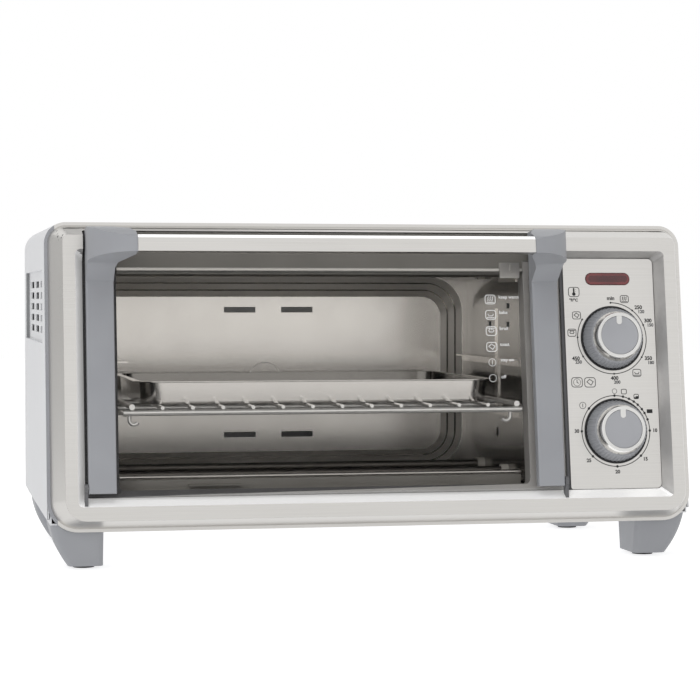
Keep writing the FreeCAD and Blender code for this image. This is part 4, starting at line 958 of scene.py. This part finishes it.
def slice_of_toast(dx, dv, size):
    """A slice seen from a corner."""
    marks = [sign(dx, dv, size)]
    marks += lines(dx, dv, [(x * size, v * size) for x, v in (
        (-2.1, 0.3), (-0.2, 1.9), (2.1, 0.4), (0.6, -1.8), (-0.9, -0.6), (-2.1, 0.3))])
    return marks


def clock(dx, dv, size):
    """A dial with two hands."""
    return [sign(dx, dv, size), arc(2.3 * size, 0, 360, dx, dv, 0.35)] + lines(
        dx, dv, [(0, 1.4 * size), (0, 0), (0.9 * size, -0.5 * size)])


def thermometer(dx, dv, size):
    """A bulb, its stem and two graduations."""
    marks = [sign(dx, dv, size), dot(1.15 * size, dx, dv - 1.3 * size)]
    marks += lines(dx, dv, [(0, -1.2 * size), (0, 2.0 * size)], 1.3)
    for v in (1.6, 0.5):
        marks += lines(dx, dv, [(0.9 * size, v * size), (1.5 * size, v * size)], 0.25)
    return marks


# %% [markdown]
# ## Scales
# Each scale is an arc with dots about its dial, and figures beside the dots. Every place is given
# in millimetres across and up from the dial's centre, and a dot's place comes from its angle.

# %% Temperature scale
def at_angle(radius, degrees):
    """The place on a dial at this angle, clockwise from the top."""
    turn = math.radians(degrees)
    return radius * math.sin(turn), radius * math.cos(turn)


marks = [arc(29, 0, 302)]
marks += [dot(0.8, *at_angle(29, turn)) for turn in (
    0, 38.8, 68.3, 122.5, 179, 239.6, 271.6, 302)]
marks += [word("min", 3.0, 0.2, 32.6), word("\u00b0F/\u00b0C", 2.2, -31.2, 31.1)]
marks += [word(text, 2.9, dx, dv) for text, dx, dv in (
    ("250", 23.4, 25.1), ("300", 31.1, 14.2), ("350", 30.1, -16.6), ("400", 0.8, -32.6),
    ("450", -31.1, -16.5))]
marks += waves(11.8, 32.0, 1) + oven_shelf(19.8, -28.4, 1, False, True)
marks += oven_shelf(-33.6, 4.6, 1, True, False) + slice_of_toast(-29.2, 18.7, 1)
marks += thermometer(-30.7, 37.8, 1.28)
printed("temperature_scale", marks, dials["temperature"], panel_out, "ink")
printed("celsius_scale", [word(text, 2.5, dx, dv) for text, dx, dv in (
    ("120", 25.6, 21.6), ("150", 32.9, 10.6), ("180", 32.1, -20.2), ("200", 2.8, -35.9),
    ("230", -29.0, -19.4))], dials["temperature"], panel_out, "grey_ink")

# %% Timer scale
marks = [arc(28.6, 0, 360)]
marks += [dot(1.05, *at_angle(28.6, turn)) for turn in (
    0, 14.6, 25.2, 34.3, 42.6, 52.6, 60.3, 71.5, 90, 135, 180, 225, 270, 310)]
marks += [word(text, 2.7, dx, dv) for text, dx, dv in (
    ("10", 33.0, 0), ("15", 23.9, -23.0), ("20", 0.1, -33.0), ("25", -23.6, -23.6),
    ("30", -32.8, 0.1))]
marks += [arc(1.95, 0, 360, 0.2, 32.2, 0.35), badge(8.1, 31.8, 4.8, 4.4),
          badge(18.4, 27.7, 4.4, 4.2)]
marks += [stroke((16.9, 26.5), (19.9, 26.5), 1.2), stroke((18.3, 27.5), (19.6, 27.5), 1.0),
          stroke((27.6, 16.4), (30.8, 16.4), 1.6), stroke((27.6, 14.9), (30.8, 14.9), 1.6),
          arc(2.6, 0, 360, -27.0, 20.9, 0.4), stroke((-27.0, 19.6), (-27.0, 22.2), 0.45)]
printed("timer_scale", marks, dials["timer"], panel_out, "ink")
printed("timer_signs", clock(-31.0, -35.7, 1.28) + slice_of_toast(-20.1, -35.8, 1.28),
        dials["temperature"], panel_out, "ink")

# %% [markdown]
# The glass carries a key to the signs, in white ink, with one or two words beside each. It rides
# on the door, and its places are given from the temperature dial, which the glass lies beside.

# %% Signs on the door glass
key = -102.0
glass_marks = waves(key, 31.1, 1.2) + oven_shelf(key, 18.7, 1.2, False, True)
glass_marks += oven_shelf(key, 5.7, 1.2, True, False) + slice_of_toast(key, -7.1, 1.2)
glass_marks += [arc(2.9, 0, 360, key, -19.6, 0.35), stroke((key, -21.2), (key, -18.0), 0.4),
                arc(2.9, 0, 360, key, -32.2, 0.35)]
glass_marks += [word(text, 2.6, -95.1, dv, "LEFT", 0.00005) for text, dv in (
    ("keep warm", 33.0), ("bake", 20.6), ("broil", 7.6), ("toast", -5.2), ("stay on", -17.6),
    ("off", -31.2))]
printed("glass_signs", glass_marks, dials["temperature"], glass_out, "white_ink", "door")

# %% [markdown]
# ## Last touches
# The CAD nodes that still show have round faces made of flat strips. Smooth shading by angle
# blends the strips, and leaves the real edges sharp.

# %% Smooth the CAD nodes that stay
for name, piece in frame["nodes"].items():
    if not piece.hide_render:
        only(piece)
        bpy.ops.object.shade_smooth_by_angle(angle=math.radians(30))
print("smoothed", sum(not piece.hide_render for piece in frame["nodes"].values()), "nodes")
